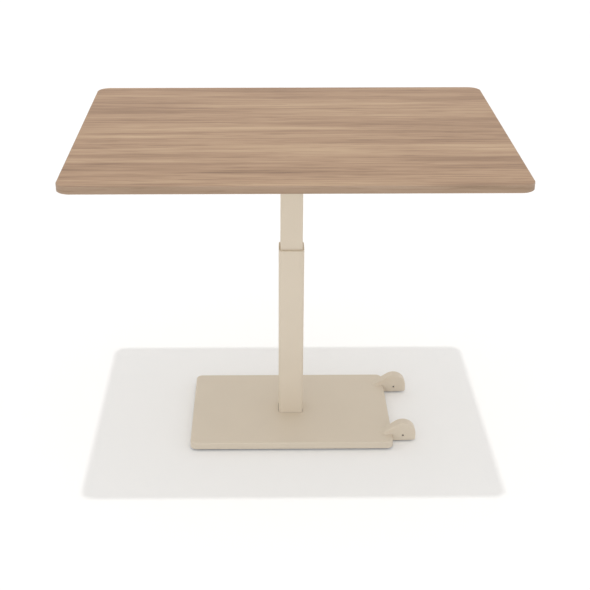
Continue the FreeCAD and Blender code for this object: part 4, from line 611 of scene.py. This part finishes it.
def merged_copy(name):
    """A copy of a CAD node with its doubled points merged and without the node's own tags."""
    skin = nodes[name].copy()
    skin.data = nodes[name].data.copy()
    skin.name = name + "_skin"
    skin.parent = None
    for key in list(skin.keys()):
        del skin[key]
    scene.collection.objects.link(skin)
    select_only(skin)
    bpy.ops.object.mode_set(mode="EDIT")
    bpy.ops.mesh.select_all(action="SELECT")
    bpy.ops.mesh.remove_doubles(threshold=MERGE_DISTANCE)
    bpy.ops.object.mode_set(mode="OBJECT")
    return skin


def dress(piece, *names, angle=SMOOTH_ANGLE):
    """Shades a finished piece and lets it stand for its CAD nodes."""
    select_only(piece)
    bpy.ops.object.shade_smooth_by_angle(angle=math.radians(angle))
    apply_modifier(piece, "WEIGHTED_NORMAL", keep_sharp=True)
    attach(piece, body_of[names[0]])
    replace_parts(piece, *names)
    return piece


dressed = []
print("smooth up to", SMOOTH_ANGLE, "degrees")

# %% [markdown]
# ## Cutters
# Recesses, grooves and holes are cut as a tool cuts them: a plain solid stands where the tool goes,
# and a Boolean takes its shape out of the piece. The cutters of one piece are joined, so that it is
# cut once. One CAD node can hold a whole set of screws, so the solids in it are told apart by
# following the edges from point to point.


# %% Cutters
def joined(parts, name):
    """One object from several, with its place in its mesh."""
    select_only(*parts)
    bpy.ops.object.join()
    whole = bpy.context.object
    whole.name = name
    bpy.ops.object.transform_apply(location=True, rotation=True, scale=True)
    return whole


def cut_away(piece, cutters):
    """Takes the shape of the cutters out of a piece and deletes them."""
    tool = joined(cutters, "cutter")
    apply_modifier(piece, "BOOLEAN", operation="DIFFERENCE", object=tool, solver="EXACT", use_self=True)
    bpy.data.objects.remove(tool, do_unlink=True)


def block(centre, size, turn=0.0):
    """A cutting block; turn is degrees about Z."""
    bpy.ops.mesh.primitive_cube_add(size=1, location=centre, rotation=(0, 0, math.radians(turn)))
    bpy.context.object.scale = size
    return bpy.context.object


def solids_of(piece):
    """The lowest and highest corner of each separate solid in a piece."""
    mesh = piece.data
    leader = list(range(len(mesh.vertices)))

    def first(i):
        while leader[i] != i:
            leader[i] = leader[leader[i]]
            i = leader[i]
        return i

    for edge in mesh.edges:
        leader[first(edge.vertices[0])] = first(edge.vertices[1])
    corners = {}
    for vertex in mesh.vertices:
        low, high = corners.setdefault(first(vertex.index), (vertex.co.copy(), vertex.co.copy()))
        for axis in range(3):
            low[axis] = min(low[axis], vertex.co[axis])
            high[axis] = max(high[axis], vertex.co[axis])
    return sorted(corners.values(), key=lambda pair: tuple(pair[0]))


# %% [markdown]
# ## Screw heads
# Every screw under the table is driven from below. The wood screws and machine screws have a cross
# recess, and the foot bolts a hexagon socket. Two blocks at right angles cut a cross, and a six-sided
# rod cuts a socket, in the middle of each head. All crosses are turned a little off the frame.

# %% Screw heads
# Fastener node: head radius in mm, depth of the recess in mm, and whether it is a hexagon.
FASTENERS = {
    "worktop_screws": (4.5, 1.6, False),
    "rail_screws": (5.0, 1.9, False),
    "paddle_bracket_screws": (3.5, 1.3, False),
    "release_bracket_screws": (3.5, 1.3, False),
    "clip_screw": (3.5, 1.3, False),
    "glide_screws": (4.5, 1.6, False),
    "cover_screws": (4.5, 1.7, False),
    "housing_screws": (4.5, 1.7, False),
    "foot_bolts": (6.5, 3.5, True),
}
# Span and width of a cross, and radius of a socket, as shares of the head's radius.
RECESS_SPAN = 1.16
RECESS_WIDTH = 0.26
SOCKET_SHARE = 0.48
RECESS_TURN = 20
HEXAGON = 6


def recess_cutters(spot, head, depth, hexagon):
    """The solids that cut one head's drive recess; they stand half in the head."""
    if hexagon:
        bpy.ops.mesh.primitive_cylinder_add(vertices=HEXAGON, radius=SOCKET_SHARE * head * MM,
                                            depth=2 * depth * MM, location=spot)
        return [bpy.context.object]
    size = (RECESS_SPAN * head * MM, RECESS_WIDTH * head * MM, 2 * depth * MM)
    return [block(spot, size, turn + RECESS_TURN) for turn in (0, 90)]


for name, (head, depth, hexagon) in FASTENERS.items():
    piece = merged_copy(name)
    cutters = []
    for low, high in solids_of(piece):
        spot = ((low.x + high.x) / 2, (low.y + high.y) / 2, low.z)
        cutters += recess_cutters(spot, head, depth, hexagon)
    cut_away(piece, cutters)
    dressed.append(dress(piece, name))
print(len(FASTENERS), "kinds of screw made")

# %% [markdown]
# ## Wheels
# Each wheel is a grey nylon hub with a soft tyre moulded on. The hub's web has six round holes that
# save weight, and the tread has three round-bottomed grooves, each cut out by a ring. The fixed axle
# is a barrel bolt with a hexagon socket in each end.

# %% Wheels
# Sizes in mm. The reach is the distance from the axle to the middle of a hole in the web.
WEB_HOLES = 6
WEB_HOLE_RADIUS = 2.4
WEB_HOLE_REACH = 10.0
WEB_HOLE_SIDES = 32
TREAD_GROOVE_RADIUS = 0.8
TREAD_PITCH = 4.2
GROOVE_SIDES = 10
RING_SIDES = 96
AXLE_SOCKET_RADIUS = 2.5
AXLE_SOCKET_DEPTH = 8.0
ALONG_Y = (math.radians(90), 0, 0)


def grooved_tyre(name, middle, radius):
    """The tyre, with a ring taken out of its tread for each groove."""
    tyre = merged_copy(name)
    cutters = []
    for place in (-TREAD_PITCH, 0, TREAD_PITCH):
        bpy.ops.mesh.primitive_torus_add(
            major_segments=RING_SIDES, minor_segments=GROOVE_SIDES, major_radius=radius,
            minor_radius=TREAD_GROOVE_RADIUS * MM, location=middle + Vector((0, place * MM, 0)),
            rotation=ALONG_Y)
        cutters.append(bpy.context.object)
    cut_away(tyre, cutters)
    return dress(tyre, name)


def pierced_hub(name, middle, width):
    """The hub, with a ring of round holes through its web."""
    hub = merged_copy(name)
    cutters = []
    for i in range(WEB_HOLES):
        turn = math.tau * i / WEB_HOLES
        spot = middle + WEB_HOLE_REACH * MM * Vector((math.cos(turn), 0, math.sin(turn)))
        bpy.ops.mesh.primitive_cylinder_add(vertices=WEB_HOLE_SIDES, radius=WEB_HOLE_RADIUS * MM,
                                            depth=2 * width, location=spot, rotation=ALONG_Y)
        cutters.append(bpy.context.object)
    cut_away(hub, cutters)
    return dress(hub, name)


def socketed_axle(name, middle):
    """The axle, with a hexagon socket in each end."""
    axle = merged_copy(name)
    low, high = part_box(name)
    cutters = []
    for y in (low.y, high.y):
        bpy.ops.mesh.primitive_cylinder_add(
            vertices=HEXAGON, radius=AXLE_SOCKET_RADIUS * MM, depth=2 * AXLE_SOCKET_DEPTH * MM,
            location=(middle.x, y, middle.z), rotation=ALONG_Y)
        cutters.append(bpy.context.object)
    cut_away(axle, cutters)
    return dress(axle, name)


for end in ("front", "rear"):
    low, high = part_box("wheel_tyre_" + end)
    middle = (low + high) / 2
    radius = (high.x - low.x) / 2
    dressed.append(grooved_tyre("wheel_tyre_" + end, middle, radius))
    dressed.append(pierced_hub("wheel_hub_" + end, middle, high.y - low.y))
    dressed.append(socketed_axle("wheel_axle_" + end, middle))
    print(end, "wheel %.0f mm across" % (2 * radius / MM))

# %% [markdown]
# ## Wheel housings
# The housings are castings, and a casting has no sharp inside corner. Where the nose lies on the
# base cover its wall swings out in a hollow curve and thins to nothing. The wall is cut into level
# rings, and each ring is moved outwards by what a quarter circle gives at its height. The tip of the
# nose slopes gently already, so it moves less, and past the cover's end the wall stays upright.

# %% Wheel housings
# Sizes in mm. The nose is the part on the cover, and its end is round in plan.
NOSE_LENGTH = 35.0
NOSE_RADIUS = 16.0
SEAT_GAP = 0.2
FILLET = 7.0
RINGS = 9
TIP_EASE = 0.85
WALL_DEPTH = 6.0
SCREW_CLEARANCE = 3.6
# The fillet fades from whole to nothing between these distances from the cover's end.
FADE_START = 14.0
FADE_END = 2.0
CAST_ANGLE = 40

cover_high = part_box("base_cover")[1]
seat_z = cover_high.z + SEAT_GAP * MM
housing_screws = bpy.data.objects["housing_screws_skin"]
screw_middles = [(low + high) / 2 for low, high in solids_of(housing_screws)]
print("the fillet leaves the holes of", len(screw_middles), "screws alone")


def eased(share):
    """0 to 1 with a soft start and a soft end."""
    share = min(1.0, max(0.0, share))
    return share * share * (3 - 2 * share)


def cut_rings(housing):
    """Cuts the foot of the wall into level rings, closer together near the cover."""
    select_only(housing)
    bpy.ops.object.mode_set(mode="EDIT")
    for ring in range(1, RINGS):
        bpy.ops.mesh.select_all(action="SELECT")
        rise = FILLET * MM * (1 - math.cos(math.radians(90 * ring / RINGS)))
        bpy.ops.mesh.bisect(plane_co=(0, 0, seat_z + rise), plane_no=(0, 0, 1))
    bpy.ops.object.mode_set(mode="OBJECT")


def fillet_push(place, low, high):
    """How far, and which way, the fillet moves a point of the housing; None where it has none."""
    arc_x = cover_high.x - (NOSE_LENGTH - NOSE_RADIUS) * MM
    outwards = Vector((min(0.0, place.x - arc_x), place.y - (low.y + high.y) / 2, 0))
    rise = max(0.0, (place.z - seat_z) / MM)
    in_wall = (high.y - low.y) / 2 - outwards.length <= WALL_DEPTH * MM
    at_screw = any(math.hypot(place.x - screw.x, place.y - screw.y) < SCREW_CLEARANCE * MM
                   for screw in screw_middles)
    if rise >= FILLET or at_screw or not in_wall or place.z < cover_high.z:
        return None
    push = FILLET - math.sqrt(FILLET ** 2 - (FILLET - rise) ** 2)
    fade = eased(((cover_high.x - place.x) / MM - FADE_END) / (FADE_START - FADE_END))
    heading = outwards.normalized()
    return heading * push * fade * (1 - TIP_EASE * heading.x ** 2) * MM


for end in ("front", "rear"):
    name = "wheel_housing_" + end
    housing = merged_copy(name)
    low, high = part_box(name)
    cut_rings(housing)
    moved = 0
    for vertex in housing.data.vertices:
        push = fillet_push(vertex.co, low, high)
        if push is not None:
            vertex.co += push
            moved += 1
    print(name, moved, "points moved")
    dressed.append(dress(housing, name, angle=CAST_ANGLE))

# %% [markdown]
# ## Tubes
# Steel tube has round outside corners, from the rolls that formed it. The CAD tubes have sharp ones.
# The triangles of each flat face are joined first, so that only real edges are left, and a bevel then
# rounds the outside edges that run along the tube.

# %% Tubes
# Tube node, and the number of the axis that it runs along. The corner's radius is in mm.
TUBES = {"support_rail_front": 0, "support_rail_rear": 0, "end_arm_left": 1, "end_arm_right": 1}
TUBE_CORNER = 3.0
TUBE_STEPS = 5
FLAT_ANGLE = 1


def whole_faces(piece):
    """Joins the triangles of each flat face and leaves nothing selected."""
    select_only(piece)
    bpy.ops.object.mode_set(mode="EDIT")
    bpy.ops.mesh.select_all(action="SELECT")
    bpy.ops.mesh.dissolve_limited(angle_limit=math.radians(FLAT_ANGLE))
    bpy.ops.mesh.select_all(action="DESELECT")
    bpy.ops.object.mode_set(mode="OBJECT")


def select_outside_edges(piece, name, axis):
    """Selects the outside edges of a tube that run along one axis, and counts them."""
    low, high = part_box(name)
    across = [i for i in range(3) if i != axis]
    for edge in piece.data.edges:
        ends = [piece.data.vertices[i].co for i in edge.vertices]
        outside = all(min(abs(end[i] - low[i]), abs(end[i] - high[i])) < MERGE_DISTANCE
                      for end in ends for i in across)
        edge.select = outside and abs(ends[0][axis] - ends[1][axis]) > TUBE_CORNER * MM
    return sum(edge.select for edge in piece.data.edges)


for name, axis in TUBES.items():
    piece = merged_copy(name)
    whole_faces(piece)
    found = select_outside_edges(piece, name, axis)
    bpy.ops.object.mode_set(mode="EDIT")
    bpy.ops.mesh.bevel(offset=TUBE_CORNER * MM, segments=TUBE_STEPS, affect="EDGES")
    bpy.ops.object.mode_set(mode="OBJECT")
    print(name, found, "edges rounded")
    dressed.append(dress(piece, name))

# %% [markdown]
# ## Sheet metal, plates and caps
# Sheet steel that was punched and folded keeps a fine deburred edge, and so do the thick plates, the
# nuts and the plastic caps. Every sharp edge of such a piece gets one small bevel, which catches a
# line of light.

# %% Sheet metal, plates and caps
# Node, and the width of its edge in mm.
DEBURRED = {
    "head_plate": 0.8, "release_bracket": 0.5, "paddle_bracket": 0.5, "arm_end_caps": 0.8,
    "ballast_plate": 1.0, "column_foot_plate": 0.8, "rod_nuts": 0.5, "release_rocker": 0.4,
}
DEBURR_STEPS = 2
EDGE_ANGLE = 40


def soften_edges(piece, width, steps):
    """Bevels every edge that is sharper than EDGE_ANGLE degrees; width is in mm."""
    apply_modifier(piece, "BEVEL", width=width * MM, segments=steps, limit_method="ANGLE",
                   angle_limit=math.radians(EDGE_ANGLE), harden_normals=False)


for name, width in DEBURRED.items():
    piece = merged_copy(name)
    whole_faces(piece)
    soften_edges(piece, width, DEBURR_STEPS)
    dressed.append(dress(piece, name))
print(len(DEBURRED), "kinds of piece deburred")

# %% [markdown]
# ## Paddle
# The release paddle is a moulded lever under the front edge. The fingers pull its underside, so it
# has shallow grip grooves there, and every edge that a hand can touch is rounded.

# %% Paddle
# Sizes in mm. The blade is the paddle's front part, and its underside is the floor of the grip. The
# grooves start at the inset from the front and cross this share of the paddle's width.
PADDLE_ROUNDING = 1.2
PADDLE_STEPS = 3
BLADE_DEPTH = 20.0
GRIP_GROOVES = 6
GRIP_INSET = 9.0
GROOVE_PITCH = 7.0
GROOVE_DEPTH = 0.9
GROOVE_WIDTH = 2.2
GROOVE_SHARE = 0.72

paddle = merged_copy("release_paddle")
low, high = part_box("release_paddle")
whole_faces(paddle)
blade_floor = min(v.co.z for v in paddle.data.vertices if v.co.y < low.y + BLADE_DEPTH * MM)
soften_edges(paddle, PADDLE_ROUNDING, PADDLE_STEPS)
cutters = []
for i in range(GRIP_GROOVES):
    y = low.y + (GRIP_INSET + GROOVE_PITCH * i) * MM
    size = ((high.x - low.x) * GROOVE_SHARE, GROOVE_WIDTH * MM, 2 * GROOVE_DEPTH * MM)
    cutters.append(block(((low.x + high.x) / 2, y, blade_floor), size))
cut_away(paddle, cutters)
dressed.append(dress(paddle, "release_paddle"))
print("paddle with", GRIP_GROOVES, "grooves")

# %% [markdown]
# ## Everything else in its CAD shape
# The remaining pieces have their full shape already, such as the base cover, the column tubes, the
# edge band and the gas spring. They get a smooth skin and nothing more. The three flat sheets of the
# worktop show only their flat faces, so their CAD nodes stay as they are.

# %% Everything else in its CAD shape
FLAT_PIECES = ("top_laminate", "top_backer", "top_core")
done = {name for piece in dressed for name in piece["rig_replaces"]}
for name in sorted(nodes):
    if name not in done and name not in FLAT_PIECES:
        dressed.append(dress(merged_copy(name), name))
print(len(dressed), "pieces dressed")
